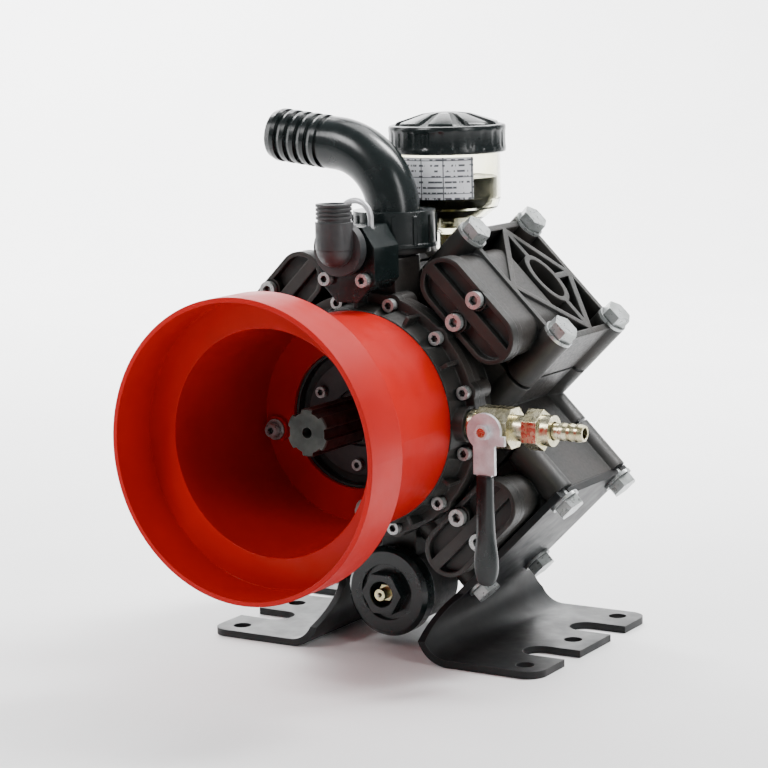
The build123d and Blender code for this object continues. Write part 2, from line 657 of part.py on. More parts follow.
def head():
    body = block(-HEAD_HALF_WIDTH, HEAD_HALF_WIDTH, -HEAD_HALF_LENGTH, HEAD_HALF_LENGTH,
                 HEAD_SEAT, HEAD_TOP)
    for x, y in bolt_places():
        body += cyl_z(BOLT_BOSS_R, HEAD_SEAT, HEAD_TOP, x, y)
    body -= slab_z(head_pockets(), HEAD_TOP - POCKET_DEPTH, HEAD_TOP + 1)
    body += slab_y(Pos(0, VALVE_Z) * SlotOverall(LID_LENGTH - 4, LID_WIDTH - 4), CHAMBER_NOSE,
                   BULGE_BACK)
    body += slab_y(Pos(0, VALVE_Z) * SlotOverall(LID_LENGTH, LID_WIDTH), CHAMBER_NOSE,
                   CHAMBER_NOSE + 6)
    oval = Pos(0, OVAL_Y) * Ellipse(OVAL_LONG, OVAL_SHORT)
    body -= slab_z(oval, HEAD_TOP - OVAL_DEPTH, HEAD_TOP + 1)
    for x, y in bolt_places():
        body -= cyl_z(M12_R + BOLT_CLEARANCE, HEAD_SEAT - 1, HEAD_TOP + 1, x, y)
    body -= cyl_z(CAVITY_R, HEAD_SEAT - 1, HEAD_SEAT + CAVITY_DEPTH)
    for x in (-VALVE_X, VALVE_X):
        body -= cyl_y(VALVE_BORE_R, CHAMBER_NOSE - 1, VALVE_BACK, x, VALVE_Z)
        body -= cyl_y(RELIEF_R, VALVE_BACK - 1, VALVE_BACK + RELIEF_L, x, VALVE_Z)
        passage_z = HEAD_SEAT + CAVITY_DEPTH + 1.5
        body -= cyl_y(PASSAGE_R, VALVE_BACK, -CAVITY_R * 0.65, x, passage_z)
    for z in (VALVE_Z - LID_SCREW_OFFSET, VALVE_Z + LID_SCREW_OFFSET):
        body -= cyl_y(M8_R + THREAD_GAP, CHAMBER_NOSE - 1, CHAMBER_NOSE + 15, 0, z)
    return body


def valve_lid():
    outline = Pos(0, VALVE_Z) * SlotOverall(LID_LENGTH, LID_WIDTH)
    lid = slab_y(outline, LID_FRONT, CHAMBER_NOSE)
    pocket = SlotOverall(LID_LENGTH - 2 * LID_RIM, LID_WIDTH - 2 * LID_RIM)
    pocket -= Rectangle(LID_LENGTH, LID_WEB)
    for z in (-LID_SCREW_OFFSET, LID_SCREW_OFFSET):
        pocket -= Pos(0, z) * Circle(LID_BOSS_R)
    lid -= slab_y(Pos(0, VALVE_Z) * pocket, LID_FRONT - 1, LID_FRONT + LID_POCKET)
    for z in (VALVE_Z - LID_SCREW_OFFSET, VALVE_Z + LID_SCREW_OFFSET):
        lid -= cyl_y(M8_R + 0.3, LID_FRONT - 1, CHAMBER_NOSE + 1, 0, z)
        lid -= cyl_y(LID_BOSS_R - 1.2, LID_FRONT - 1, LID_SEAT, 0, z)
    for x in (-VALVE_X, VALVE_X):
        lid -= cyl_y(6.0, CHAMBER_NOSE - 1.8, CHAMBER_NOSE + 1, x, VALVE_Z)
    return lid


def lid_screws():
    screw = cap_screw(M8_R, LID_T - LID_SEAT_DROP + 13, M8_HEAD_R, M8_HEAD_H)
    return [Pos(0, LID_SEAT, VALVE_Z + z) * screw for z in (-LID_SCREW_OFFSET, LID_SCREW_OFFSET)]


def inlet(shape):
    """Stand a valve cartridge, drawn along +Y from y=0, in the suction bore of a head."""
    return Pos(-VALVE_X, VALVE_FRONT, VALVE_Z) * shape


def outlet(shape):
    return Pos(VALVE_X, VALVE_BACK, VALVE_Z) * Rot(180, 0, 0) * shape


def valve_seat():
    return cyl_y(CARTRIDGE_R, 0, SEAT_T) - cyl_y(SEAT_BORE_R, -1, SEAT_T + 1)


def valve_cage():
    tube = cyl_y(CARTRIDGE_R, SEAT_T, CARTRIDGE_L)
    tube -= cyl_y(CARTRIDGE_R - CAGE_WALL, SEAT_T - 1, CARTRIDGE_L - CAGE_END_T)
    tube -= cyl_y(POPPET_STEM_R + RUN_GAP, SEAT_T, CARTRIDGE_L + 1)
    for x, z in ring_places(4, FLOW_HOLES_AT, 45.0):
        tube -= cyl_y(FLOW_HOLE_R, SEAT_T, CARTRIDGE_L + 1, x, z)
    return tube


def poppet():
    face = SEAT_T + BODY_GAP
    body = cyl_y(POPPET_R, face, face + POPPET_T)
    body += cyl_y(POPPET_R - 2, face + POPPET_T - 1, face + POPPET_T + 0.8)
    body -= cyl_y(POPPET_R - 3.4, face + POPPET_T - 0.2, face + POPPET_T + 1)
    return body + cyl_y(POPPET_STEM_R, face, CARTRIDGE_L - CAGE_END_T * 0.5)


def valve_spring():
    start = SEAT_T + BODY_GAP + POPPET_T + BODY_GAP + SPRING_WIRE_R
    length = CARTRIDGE_L - CAGE_END_T - BODY_GAP - SPRING_WIRE_R - start
    path = Helix(pitch=length / SPRING_COILS, height=length, radius=SPRING_R)
    wire = sweep(Plane(origin=path @ 0, z_dir=path % 0) * Circle(SPRING_WIRE_R), path)
    return Pos(0, start, 0) * Rot(-90, 0, 0) * wire


def o_ring_y(major, minor, y, x=0.0, z=0.0):
    return Pos(x, y, z) * Rot(90, 0, 0) * Torus(major, minor)


def o_rings():
    minor = CARTRIDGE_SETBACK * 0.48
    y = CHAMBER_NOSE + CARTRIDGE_SETBACK / 2
    group = []
    for name in ARM_ANGLE:
        for x in (-VALVE_X, VALVE_X):
            seal = o_ring_y(CARTRIDGE_R - minor - 0.3, minor, y, x, VALVE_Z)
            group.append(on_arm(name, seal))
    groove_mid = (SPIGOT_R + SPIGOT_GROOVE_R) / 2
    half = (SPIGOT_R - SPIGOT_GROOVE_R) / 2
    group.append(o_ring_y(groove_mid, half - RUN_GAP, SPIGOT_BACK - 5, 0, OUTLET_Z))
    return group


def ring_nut():
    grip = Circle(RING_NUT_R)
    for k in range(RING_NUT_RIBS):
        grip += Rot(0, 0, 360.0 * k / RING_NUT_RIBS) * Pos(RING_NUT_R, 0) * Rectangle(2.4, 3.0)
    nut = slab_z(grip, RING_NUT_LOW_Z + 2, RING_NUT_TOP_Z - 3)
    nut += cyl_z(RING_NUT_R + 1, RING_NUT_LOW_Z, RING_NUT_LOW_Z + 3)
    nut += cyl_z(RING_NUT_R, RING_NUT_TOP_Z - 4, RING_NUT_TOP_Z)
    nut -= cyl_z(SUCTION_COLLAR_R + THREAD_GAP, RING_NUT_LOW_Z - 1, RING_NUT_TOP_Z - RING_NUT_LIP_T)
    nut -= cyl_z(ELBOW_R + 2, RING_NUT_LOW_Z, RING_NUT_TOP_Z + 1)
    return Pos(0, SUCTION_Y, 0) * nut


def elbow_shape(leg_r, arm_r, leg_low, overrun):
    """Leg, bend and arm of the suction elbow as one round bar."""
    centre_y = SUCTION_Y - ELBOW_BEND_R
    shape = cyl_z(leg_r, leg_low, ELBOW_LEG_Z, 0, SUCTION_Y)
    ring_face = Pos(0, SUCTION_Y, ELBOW_LEG_Z) * Circle(leg_r)
    hinge = Axis((0, centre_y, ELBOW_LEG_Z), (1, 0, 0))
    shape += revolve(ring_face, hinge, ELBOW_SWEEP)
    return shape + elbow_arm(cyl_z(arm_r, 0, ELBOW_ARM + overrun))


def elbow_arm(shape):
    """Carry a shape drawn up +Z from the origin to the start of the elbow's arm."""
    sweep_rad = radians(ELBOW_SWEEP)
    start_y = SUCTION_Y - ELBOW_BEND_R * (1 - cos(sweep_rad))
    start_z = ELBOW_LEG_Z + ELBOW_BEND_R * sin(sweep_rad)
    return Pos(0, start_y, start_z) * Rot(ELBOW_SWEEP, 0, 0) * shape


def suction_elbow():
    low = SUCTION_TOP_Z + BODY_GAP
    plain = ELBOW_ARM - BARB_LANDS * BARB_PITCH
    body = elbow_shape(ELBOW_R, BARB_ROOT_R, low, 0)
    body += cyl_z(ELBOW_FLANGE_R, low, RING_NUT_TOP_Z - RING_NUT_LIP_T - BODY_GAP, 0, SUCTION_Y)
    body += elbow_arm(cyl_z(ELBOW_R, 0, plain - 4))
    for k in range(BARB_LANDS):
        foot = plain + k * BARB_PITCH
        land_top = foot + BARB_LAND
        ridge = turned_z([(0, foot), (BARB_R, foot), (BARB_R, land_top),
                          (BARB_ROOT_R, foot + BARB_PITCH), (0, foot + BARB_PITCH)])
        body += elbow_arm(ridge)
    body -= elbow_shape(SUCTION_BORE_R, SUCTION_BORE_R, low - 1, 1)
    return Pos(0, SUCTION_Y, 0) * Rot(0, 0, ELBOW_HEADING) * Pos(0, -SUCTION_Y, 0) * body


def delivery_block():
    half = BLOCK_HALF
    outline = make_face(Polyline((-9, BLOCK_LOW_Z), (9, BLOCK_LOW_Z), (half, BLOCK_LOW_Z + 16),
                                 (half, OUTLET_Z), (14, BLOCK_TOP_Z), (-14, BLOCK_TOP_Z),
                                 (-half, OUTLET_Z), (-half, BLOCK_LOW_Z + 16), close=True))
    body = slab_y(outline, BLOCK_FRONT, CASE_FRONT)
    body -= block(-half - 1, half + 1, COVER_FACE - 1, CASE_FRONT + 1, BLOCK_LOW_Z - 1,
                  RIM_PCR + RIM_BOSS_R + 2)
    body -= cyl_y(SPIGOT_R + RUN_GAP, BLOCK_FRONT - 1, SPIGOT_BACK + 1, 0, OUTLET_Z)
    for x in (-BLOCK_SCREW_X, BLOCK_SCREW_X):
        body -= cyl_y(M6_R + 0.3, BLOCK_FRONT - 1, CASE_FRONT + 1, x, BLOCK_SCREW_Z)
    for x in (-CLIP_X, CLIP_X):
        body -= cyl_z(CLIP_WIRE_R + BODY_GAP, CLIP_FOOT_Z - 3, BLOCK_TOP_Z + 1, x, CLIP_Y)
    return body


def block_screws():
    screw = cap_screw(M6_R, CASE_FRONT - BLOCK_FRONT + 11, M6_HEAD_R, M6_HEAD_H)
    return [Pos(x, BLOCK_FRONT, BLOCK_SCREW_Z) * screw for x in (-BLOCK_SCREW_X, BLOCK_SCREW_X)]


def outlet_elbow():
    body = cyl_y(SPIGOT_R, COLLAR_BACK, SPIGOT_BACK, 0, OUTLET_Z)
    for mid, half in ((CLIP_Y, CLIP_WIRE_R + 0.5), (SPIGOT_BACK - 5, 1.2)):
        groove = cyl_y(SPIGOT_R + 1, mid - half, mid + half, 0, OUTLET_Z)
        body -= groove - cyl_y(SPIGOT_GROOVE_R, mid - half - 1, mid + half + 1, 0, OUTLET_Z)
    body += cyl_y(COLLAR_R, COLLAR_FRONT, COLLAR_BACK, 0, OUTLET_Z)
    body += Pos(0, OUTLET_PIPE_Y, OUTLET_Z) * Sphere(OUTLET_PIPE_R)
    top = OUTLET_Z + OUTLET_RISE
    thread_low = top - OUTLET_LANDS * OUTLET_PITCH
    body += cyl_z(OUTLET_PIPE_R + 0.6, OUTLET_Z, thread_low - 1, 0, OUTLET_PIPE_Y)
    body += cyl_z(OUTLET_ROOT_R, OUTLET_Z, top, 0, OUTLET_PIPE_Y)
    for k in range(OUTLET_LANDS):
        foot = thread_low + k * OUTLET_PITCH + (OUTLET_PITCH - OUTLET_LAND)
        body += cyl_z(OUTLET_PIPE_R, foot, foot + OUTLET_LAND, 0, OUTLET_PIPE_Y)
    body -= cyl_z(OUTLET_BORE_R, OUTLET_Z, top + 1, 0, OUTLET_PIPE_Y)
    body -= Pos(0, OUTLET_PIPE_Y, OUTLET_Z) * Sphere(OUTLET_BORE_R)
    return body - cyl_y(OUTLET_BORE_R, OUTLET_PIPE_Y, SPIGOT_BACK + 1, 0, OUTLET_Z)


def outlet_clip():
    bow_z = CLIP_TOP_Z - CLIP_X
    clip = cyl_z(CLIP_WIRE_R, CLIP_FOOT_Z, bow_z, -CLIP_X, CLIP_Y)
    clip += cyl_z(CLIP_WIRE_R, CLIP_FOOT_Z, bow_z, CLIP_X, CLIP_Y)
    wire_face = Pos(CLIP_X, CLIP_Y, bow_z) * Circle(CLIP_WIRE_R)
    return clip + revolve(wire_face, Axis((0, CLIP_Y, bow_z), (0, -1, 0)), 180)


def oil_nipple():
    body = cyl_z(NIPPLE_R, NIPPLE_LOW_Z, CUP_NECK_Z + 12)
    body += slab_z(hexagon(NIPPLE_HEX), NIPPLE_FACE_Z - 2, NIPPLE_FACE_Z + 8)
    return Pos(0, CUP_Y, 0) * (body - cyl_z(NIPPLE_R - 2.5, NIPPLE_LOW_Z - 1, CUP_NECK_Z + 13))


def oil_cup():
    outer = [(CUP_NECK_R, CUP_NECK_Z), (CUP_NECK_R, CUP_SHOULDER_Z), (CUP_R * 0.72, CUP_SIDE_Z - 10),
             (CUP_R * 0.94, CUP_SIDE_Z - 3), (CUP_R, CUP_SIDE_Z + 4), (CUP_R, CUP_TOP_Z)]
    wall = CUP_WALL
    inner = [(CUP_R - wall, CUP_TOP_Z), (CUP_R - wall, CUP_SIDE_Z + 4.5),
             (CUP_R * 0.94 - wall, CUP_SIDE_Z - 1.5), (CUP_R * 0.72 - wall, CUP_SIDE_Z - 8.5),
             (NIPPLE_R + THREAD_GAP, CUP_SHOULDER_Z + 2), (NIPPLE_R + THREAD_GAP, CUP_NECK_Z)]
    return turned_z(outer + inner, 0, CUP_Y)


def cap_gasket():
    low = CUP_TOP_Z + BODY_GAP
    ring = cyl_z(CUP_R, low, low + GASKET_T, 0, CUP_Y)
    return ring - cyl_z(CUP_R - CUP_WALL - 3, low - 1, low + GASKET_T + 1, 0, CUP_Y)


def oil_cap():
    plate_low = CUP_TOP_Z + BODY_GAP + GASKET_T + BODY_GAP
    skirt_top = CAP_TOP_Z - CAP_PLATE_T
    body = cyl_z(CAP_R - 2, CAP_LOW_Z, skirt_top)
    body += cyl_z(CAP_R, CAP_LOW_Z, CAP_LOW_Z + 5)
    for k in range(CAP_RIBS):
        grip = Pos(CAP_R - 2, 0, (CAP_LOW_Z + skirt_top) / 2) * Box(3.4, 6, skirt_top - CAP_LOW_Z)
        body += Rot(0, 0, 360.0 * k / CAP_RIBS) * grip
    body += turned_z([(0, skirt_top), (CAP_R - 1, skirt_top), (CAP_R - 6, CAP_TOP_Z - 1),
                      (0, CAP_TOP_Z - 1)])
    for k in range(CAP_FACETS):
        lug = Pos(CAP_R - 17, 0, CAP_TOP_Z - 1) * Box(18, 15, 2)
        body += Rot(0, 0, 360.0 * k / CAP_FACETS) * lug
    body -= cyl_z(CUP_R + BODY_GAP, CAP_LOW_Z - 1, plate_low)
    body -= cyl_z(CUP_R - CUP_WALL - 3, plate_low - 1, skirt_top - 3)
    return Pos(0, CUP_Y, 0) * body


def cock_body():
    x = COCK_BALL_X
    body = cyl_x(COCK_NECK_R, COCK_BOSS_X - 12, x, COCK_Y)
    wide = Rot(0, 90, 0) * extrude(RegularPolygon(COCK_BODY_R / cos(pi / 8), 8), COCK_BODY_HALF,
                                   both=True)
    body += Pos(x, COCK_Y, 0) * Rot(22.5, 0, 0) * wide
    body += cyl_x(COCK_NECK_R, x, UNION_START + 10, COCK_Y)
    body += cyl_x(COCK_NECK_R + 2, COCK_BOSS_X + 2, COCK_BOSS_X + 6, COCK_Y)
    body += cyl_y(GLAND_R, COCK_Y - GLAND_REACH, COCK_Y, x, 0)
    body -= Pos(x, COCK_Y, 0) * Sphere(BALL_R + RUN_GAP)
    body -= cyl_x(COCK_BORE_R, COCK_BOSS_X - 13, UNION_START + 11, COCK_Y)
    return body - cyl_y(STEM_R + RUN_GAP, COCK_Y - GLAND_REACH - 1, COCK_Y, x, 0)


def cock_ball():
    ball = Sphere(BALL_R) - Cylinder(COCK_BORE_R, 3 * BALL_R)
    front = -LEVER_AT - LEVER_T - 4.0
    stem = cyl_y(STEM_R, front, -BALL_R + 2)
    stem = stem & cyl_y(STEM_R, front, 0)
    return Pos(COCK_BALL_X, COCK_Y, 0) * (ball + stem)


def cock_lever():
    plate = Circle(LEVER_HEAD_R)
    plate += Pos(0, -LEVER_REACH / 2) * Rectangle(LEVER_WIDTH - 5, LEVER_REACH - 8)
    plate += Pos(0, -GRIP_START / 2) * Rectangle(LEVER_WIDTH, GRIP_START)
    plate += Pos(LEVER_HEAD_R - 4, -6) * Rectangle(14, 7)
    plate -= Circle(STEM_R)
    lever = slab_y(plate, -LEVER_AT - LEVER_T, -LEVER_AT)
    return Pos(COCK_BALL_X, COCK_Y, 0) * lever


def lever_nut():
    back = -LEVER_AT - LEVER_T
    nut = slab_y(hexagon(10.0), back - 4, back) - cyl_y(STEM_R, back - 5, back + 1)
    return Pos(COCK_BALL_X, COCK_Y, 0) * nut


def lever_grip():
    mid = -LEVER_AT - LEVER_T / 2
    span = LEVER_REACH - GRIP_START
    shape = Pos(0, -GRIP_START - span / 2) * Rectangle(GRIP_WIDTH - 3, span)
    shape += Pos(0, -LEVER_REACH + 18) * Ellipse(GRIP_WIDTH / 2 + 1, 18)
    shape -= Pos(0, -LEVER_REACH - 3) * Rectangle(GRIP_WIDTH * 2, 6)
    grip = slab_y(shape, mid - GRIP_DEPTH / 2, mid + GRIP_DEPTH / 2)
    tang_half = (LEVER_WIDTH - 5) / 2
    tang = block(-tang_half, tang_half, mid - LEVER_T / 2, mid + LEVER_T / 2, -LEVER_REACH + 4,
                 -GRIP_START + 1)
    return Pos(COCK_BALL_X, COCK_Y, 0) * (grip - tang)


def union_nut():
    span = UNION_END - UNION_START
    nut = Rot(0, 90, 0) * extrude(hexagon(UNION_HEX), span * 0.6)
    nut = Pos(UNION_START, COCK_Y, 0) * nut + cyl_x(UNION_HEX * 0.43, UNION_START, UNION_END, COCK_Y)
    nut -= cyl_x(COCK_NECK_R + THREAD_GAP, UNION_START - 1, UNION_END - 5, COCK_Y)
    return nut - cyl_x(TAIL_R + 0.3, UNION_START, UNION_END + 1, COCK_Y)


def hose_tail():
    barbs = TAIL_END - TAIL_LANDS * TAIL_PITCH
    tail = cyl_x(TAIL_R - TAIL_STEP, UNION_END - 8, barbs - 2, COCK_Y)
    tail += cyl_x(TAIL_ROOT_R, UNION_END - 8, TAIL_END, COCK_Y)
    tail += cyl_x(COCK_NECK_R - 0.2, UNION_END - 9.5, UNION_END - 5, COCK_Y)
    for k in range(TAIL_LANDS):
        foot = barbs + k * TAIL_PITCH
        ridge = turned_z([(0, foot), (TAIL_R, foot), (TAIL_R, foot + TAIL_LAND),
                          (TAIL_ROOT_R, foot + TAIL_PITCH), (0, foot + TAIL_PITCH)])
        tail += Pos(0, COCK_Y, 0) * Rot(0, 90, 0) * ridge
    return tail - cyl_x(TAIL_BORE_R, UNION_START, TAIL_END + 1, COCK_Y)


def damper_cap():
    cap = turned_y([(0, DAMPER_BACK), (DAMPER_R, DAMPER_BACK), (DAMPER_R, DAMPER_FRONT + 3),
                    (DAMPER_R - 3, DAMPER_FRONT), (0, DAMPER_FRONT)])
    cap += cyl_y(DAMPER_BORE_R - THREAD_GAP, DAMPER_BACK - 1, DAMPER_BACK + 12)
    cap -= cyl_y(DAMPER_HEX * 0.72, DAMPER_FRONT - 1, DAMPER_FRONT + 3)
    cap += slab_y(hexagon(DAMPER_HEX), DAMPER_HEX_FRONT, DAMPER_FRONT + 4)
    cap -= cyl_y(DAMPER_HOLE_R, DAMPER_HEX_FRONT - 1, DAMPER_FRONT + 4)
    cap -= cyl_y(AIR_BODY_R + THREAD_GAP, DAMPER_FRONT + 3, DAMPER_BACK + 13)
    return Pos(0, 0, DAMPER_Z) * cap


def air_valve():
    seat = DAMPER_FRONT + 4
    body = cyl_y(AIR_BODY_R, AIR_FRONT, DAMPER_BACK + 10)
    body += slab_y(hexagon(12.0), seat - 5, seat)
    return Pos(0, 0, DAMPER_Z) * (body - cyl_y(AIR_PIN_R + 0.8, AIR_FRONT - 1, DAMPER_BACK + 11))


def air_pin():
    pin = cyl_y(AIR_PIN_R, AIR_PIN_FRONT, DAMPER_BACK + 6)
    return Pos(0, 0, DAMPER_Z) * pin


def foot_base(x0):
    low = FLOOR_Z
    top = FLOOR_Z + FOOT_T
    base = block(x0, FOOT_TIP_X, FOOT_FRONT, FOOT_BACK, low, top)
    corners = base.edges().filter_by(Axis.Z).group_by(Axis.X)[-1]
    base = fillet(corners, 14.0)
    slot_end = FOOT_SLOT_X + FOOT_SLOT_W / 2
    for side in (-1, 1):
        y = side * FOOT_HOLE_PITCH / 2 - PUMP_SETBACK
        base -= block(slot_end, FOOT_TIP_X + 1, y - FOOT_SLOT_W / 2, y + FOOT_SLOT_W / 2, low - 1,
                      top + 1)
        base -= cyl_z(FOOT_SLOT_W / 2, low - 1, top + 1, slot_end, y)
    for k in (-1, 0, 1):
        y = k * FOOT_HOLE_PITCH - PUMP_SETBACK
        base -= cyl_z(FOOT_HOLE_R, low - 1, top + 1, FOOT_HOLE_X, y)
    return base


def foot_right():
    """Plate down the head's outer face, a round bend and the slotted base."""
    mid = HEAD_TOP + FOOT_T / 2
    start_x = (mid - FOOT_EDGE) / ROOT2
    start_z = -(mid + FOOT_EDGE) / ROOT2
    bend_r = (start_z - FLOOR_Z - FOOT_T / 2) / (1 + 1 / ROOT2)
    centre_x = start_x + bend_r / ROOT2
    centre_z = start_z - bend_r / ROOT2
    half = FOOT_T / 2
    sector = cyl_y(bend_r + half, FOOT_FRONT, FOOT_BACK)
    sector -= cyl_y(bend_r - half, FOOT_FRONT - 1, FOOT_BACK + 1)
    reach = 3 * bend_r
    window = make_face(Polyline((0, 0), (-reach, reach), (-reach, -reach), (0, -reach), close=True))
    sector = sector & slab_y(window, FOOT_FRONT - 1, FOOT_BACK + 1)
    bend = Pos(centre_x, 0, centre_z) * sector
    plate = block(-HEAD_HALF_WIDTH, FOOT_EDGE, FOOT_FRONT, FOOT_BACK, HEAD_TOP, HEAD_TOP + FOOT_T)
    body = on_arm("lower_right", plate) + bend
    shoulder_z = FLOOR_Z + FOOT_T + bend_r * 0.5
    side = make_face(Plane.YZ * Polyline(
        (FOOT_FRONT, FLOOR_Z - 1), (FOOT_FRONT, shoulder_z), (-FOOT_TOP_HALF_Y, start_z),
        (-FOOT_TOP_HALF_Y, 0), (FOOT_TOP_HALF_Y, 0), (FOOT_TOP_HALF_Y, start_z),
        (FOOT_BACK, shoulder_z), (FOOT_BACK, FLOOR_Z - 1), close=True))
    body = body & extrude(side, 2 * FOOT_TIP_X, both=True)
    for x, y in bolt_places():
        hole = cyl_z(M12_R + BOLT_CLEARANCE, HEAD_TOP - 1, HEAD_TOP + FOOT_T + 1, x, y)
        body -= on_arm("lower_right", hole)
    return body + foot_base(centre_x)


def head_bolt_set():
    group = []
    for name in ARM_ANGLE:
        seat = HEAD_TOP + (FOOT_T if name.startswith("lower") else 0.0)
        for part in hex_bolt(seat, ARM_FACE - BOLT_REACH):
            for x, y in bolt_places():
                group.append(on_arm(name, Pos(x, y, 0) * part))
    return group


def every_arm(shapes):
    return [on_arm(name, shape) for name in ARM_ANGLE for shape in shapes]


inner_f, outer_f, balls_f, cage_f = bearing(FRONT_BEARING_AT, FRONT_BEARING_W, FRONT_JOURNAL_R,
                                            FRONT_BEARING_R)
inner_r, outer_r, balls_r, cage_r = bearing(REAR_BEARING_AT, REAR_BEARING_W, REAR_JOURNAL_R,
                                            REAR_BEARING_R)
foot_r = foot_right()

save("crankcase", crankcase())
save("front_cover", front_cover())
save("cover_screws", rim_screws() + rear_screws() + block_screws())
save("seal_retainer", seal_retainer())
save("retainer_screws", retainer_screws())
save("shaft_seal", shaft_seal())
save("rear_cover", rear_cover())
save("pto_guard", guard())
save("guard_screws", guard_screws())
save("bearing_inner_rings", [inner_f, inner_r])
save("bearing_outer_rings", [outer_f, outer_r])
save("bearing_balls", balls_f + balls_r)
save("bearing_cages", [cage_f, cage_r])
save("crankshaft", crankshaft())
save("eccentric_ring", eccentric_ring())
save("cylinder_liners", every_arm([liner()]))
save("diaphragms", every_arm([diaphragm()]))
for arm in ARM_ANGLE:
    save(f"piston_{arm}", on_arm(arm, piston()))
    save(f"head_{arm}", on_arm(arm, head()))
    save(f"suction_poppet_{arm}", on_arm(arm, inlet(poppet())))
    save(f"delivery_poppet_{arm}", on_arm(arm, outlet(poppet())))
save("valve_covers", every_arm([valve_lid()]))
save("valve_cover_screws", every_arm(lid_screws()))
cartridge = [inlet(valve_seat()), outlet(valve_seat()), inlet(valve_cage()), outlet(valve_cage())]
save("valve_cartridges", every_arm(cartridge))
save("valve_springs", every_arm([inlet(valve_spring()), outlet(valve_spring())]))
save("o_rings", o_rings())
save("head_bolts", head_bolt_set())
save("suction_ring_nut", ring_nut())
save("suction_elbow", suction_elbow())
save("delivery_block", delivery_block())
save("outlet_elbow", outlet_elbow())
save("outlet_clip", outlet_clip())
save("oil_cup_nipple", oil_nipple())
save("oil_cup", oil_cup())
save("oil_cap_gasket", cap_gasket())
save("oil_cap", oil_cap())
save("valve_body", cock_body())
save("valve_ball", cock_ball())
save("valve_lever", cock_lever())
save("lever_nut", lever_nut())
save("lever_grip", lever_grip())
save("union_nut", union_nut())
save("hose_tail", hose_tail())
save("damper_cap", damper_cap())
save("air_valve_body", air_valve())
save("air_valve_pin", air_pin())
save("foot_right", foot_r)
save("foot_left", mirror(foot_r, Plane.YZ))
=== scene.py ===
import math

import bmesh
import bpy
from mathutils import Matrix, Vector


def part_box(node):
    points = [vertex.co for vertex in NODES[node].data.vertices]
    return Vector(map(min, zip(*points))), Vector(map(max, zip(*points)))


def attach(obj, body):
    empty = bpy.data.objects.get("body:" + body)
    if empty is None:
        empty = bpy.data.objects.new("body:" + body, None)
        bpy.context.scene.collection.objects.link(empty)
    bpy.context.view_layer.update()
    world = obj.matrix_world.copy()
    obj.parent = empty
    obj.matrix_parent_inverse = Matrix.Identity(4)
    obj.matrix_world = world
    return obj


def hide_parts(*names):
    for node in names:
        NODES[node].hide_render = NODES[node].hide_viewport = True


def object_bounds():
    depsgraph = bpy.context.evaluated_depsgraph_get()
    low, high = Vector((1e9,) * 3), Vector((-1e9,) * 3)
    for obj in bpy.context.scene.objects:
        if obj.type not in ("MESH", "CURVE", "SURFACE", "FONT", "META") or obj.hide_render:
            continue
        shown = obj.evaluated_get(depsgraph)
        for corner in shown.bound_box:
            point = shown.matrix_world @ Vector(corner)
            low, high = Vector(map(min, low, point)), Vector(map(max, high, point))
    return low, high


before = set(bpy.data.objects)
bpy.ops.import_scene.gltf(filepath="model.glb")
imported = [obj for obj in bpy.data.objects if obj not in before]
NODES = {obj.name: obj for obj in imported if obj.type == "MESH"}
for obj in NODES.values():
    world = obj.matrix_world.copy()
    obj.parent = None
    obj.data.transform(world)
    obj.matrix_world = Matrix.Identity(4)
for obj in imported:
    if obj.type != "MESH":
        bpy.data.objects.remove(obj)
cad_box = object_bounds()
MM = 0.001
TAU = 2 * math.pi

# ---- the camera: where it stands, the way it looks and its lens ----

EYE = Vector((0.89903, -1.53969, 0.47663))
LOOK = Vector((-0.51335, 0.84381, -0.15642))
RIGHT = Vector((0.8559, 0.5167, -0.0216))
LENS = 109.5


def add_camera():
    data = bpy.data.cameras.new("camera")
    data.lens = LENS
    data.sensor_width = 36.0
    data.clip_start = 0.05
    data.clip_end = 50.0
    back = -LOOK.normalized()
    up = back.cross(RIGHT).normalized()
    side = up.cross(back)
    turn = Matrix((side, up, back)).transposed().to_4x4()
    camera = bpy.data.objects.new("camera", data)
    camera.matrix_world = Matrix.Translation(EYE) @ turn
    bpy.context.collection.objects.link(camera)
    bpy.context.scene.camera = camera


# ---- small mesh tools ----

def mesh_object(name, verts, faces, smooth=True):
    mesh = bpy.data.meshes.new(name)
    mesh.from_pydata([tuple(v) for v in verts], [], faces)
    work = bmesh.new()
    work.from_mesh(mesh)
    bmesh.ops.remove_doubles(work, verts=work.verts, dist=1e-7)
    bmesh.ops.recalc_face_normals(work, faces=work.faces)
    work.to_mesh(mesh)
    work.free()
    for face in mesh.polygons:
        face.use_smooth = smooth
    obj = bpy.data.objects.new(name, mesh)
    bpy.context.collection.objects.link(obj)
    return obj


def crease_by_angle(obj, degrees=32.0):
    """Sharp edges stay sharp and the rest shades smoothly."""
    mesh = obj.data
    work = bmesh.new()
    work.from_mesh(mesh)
    limit = math.radians(degrees)
    for edge in work.edges:
        if len(edge.link_faces) == 2:
            edge.smooth = edge.calc_face_angle(0.0) < limit
    work.to_mesh(mesh)
    work.free()


def soften(obj, width, segments=2, degrees=32.0):
    bevel = obj.modifiers.new("soft edges", "BEVEL")
    bevel.width = width
    bevel.segments = segments
    bevel.limit_method = "ANGLE"
    bevel.angle_limit = math.radians(degrees)
    bevel.harden_normals = False


def lathe(name, profile, centre, segments=96, wave=None):
    """Turn (radius, height) points about Z. wave(angle, i) may change the radius of point i."""
    verts = []
    for s in range(segments):
        a = TAU * s / segments
        for i, (r, z) in enumerate(profile):
            grow = wave(a, i) if wave else 0.0
            verts.append((centre[0] + (r + grow) * math.cos(a), centre[1] + (r + grow) * math.sin(a), z))
    n = len(profile)
    faces = []
    for s in range(segments):
        t = (s + 1) % segments
        for i in range(n - 1):
            faces.append((s * n + i, t * n + i, t * n + i + 1, s * n + i + 1))
    return mesh_object(name, verts, faces)


# ---- materials ----

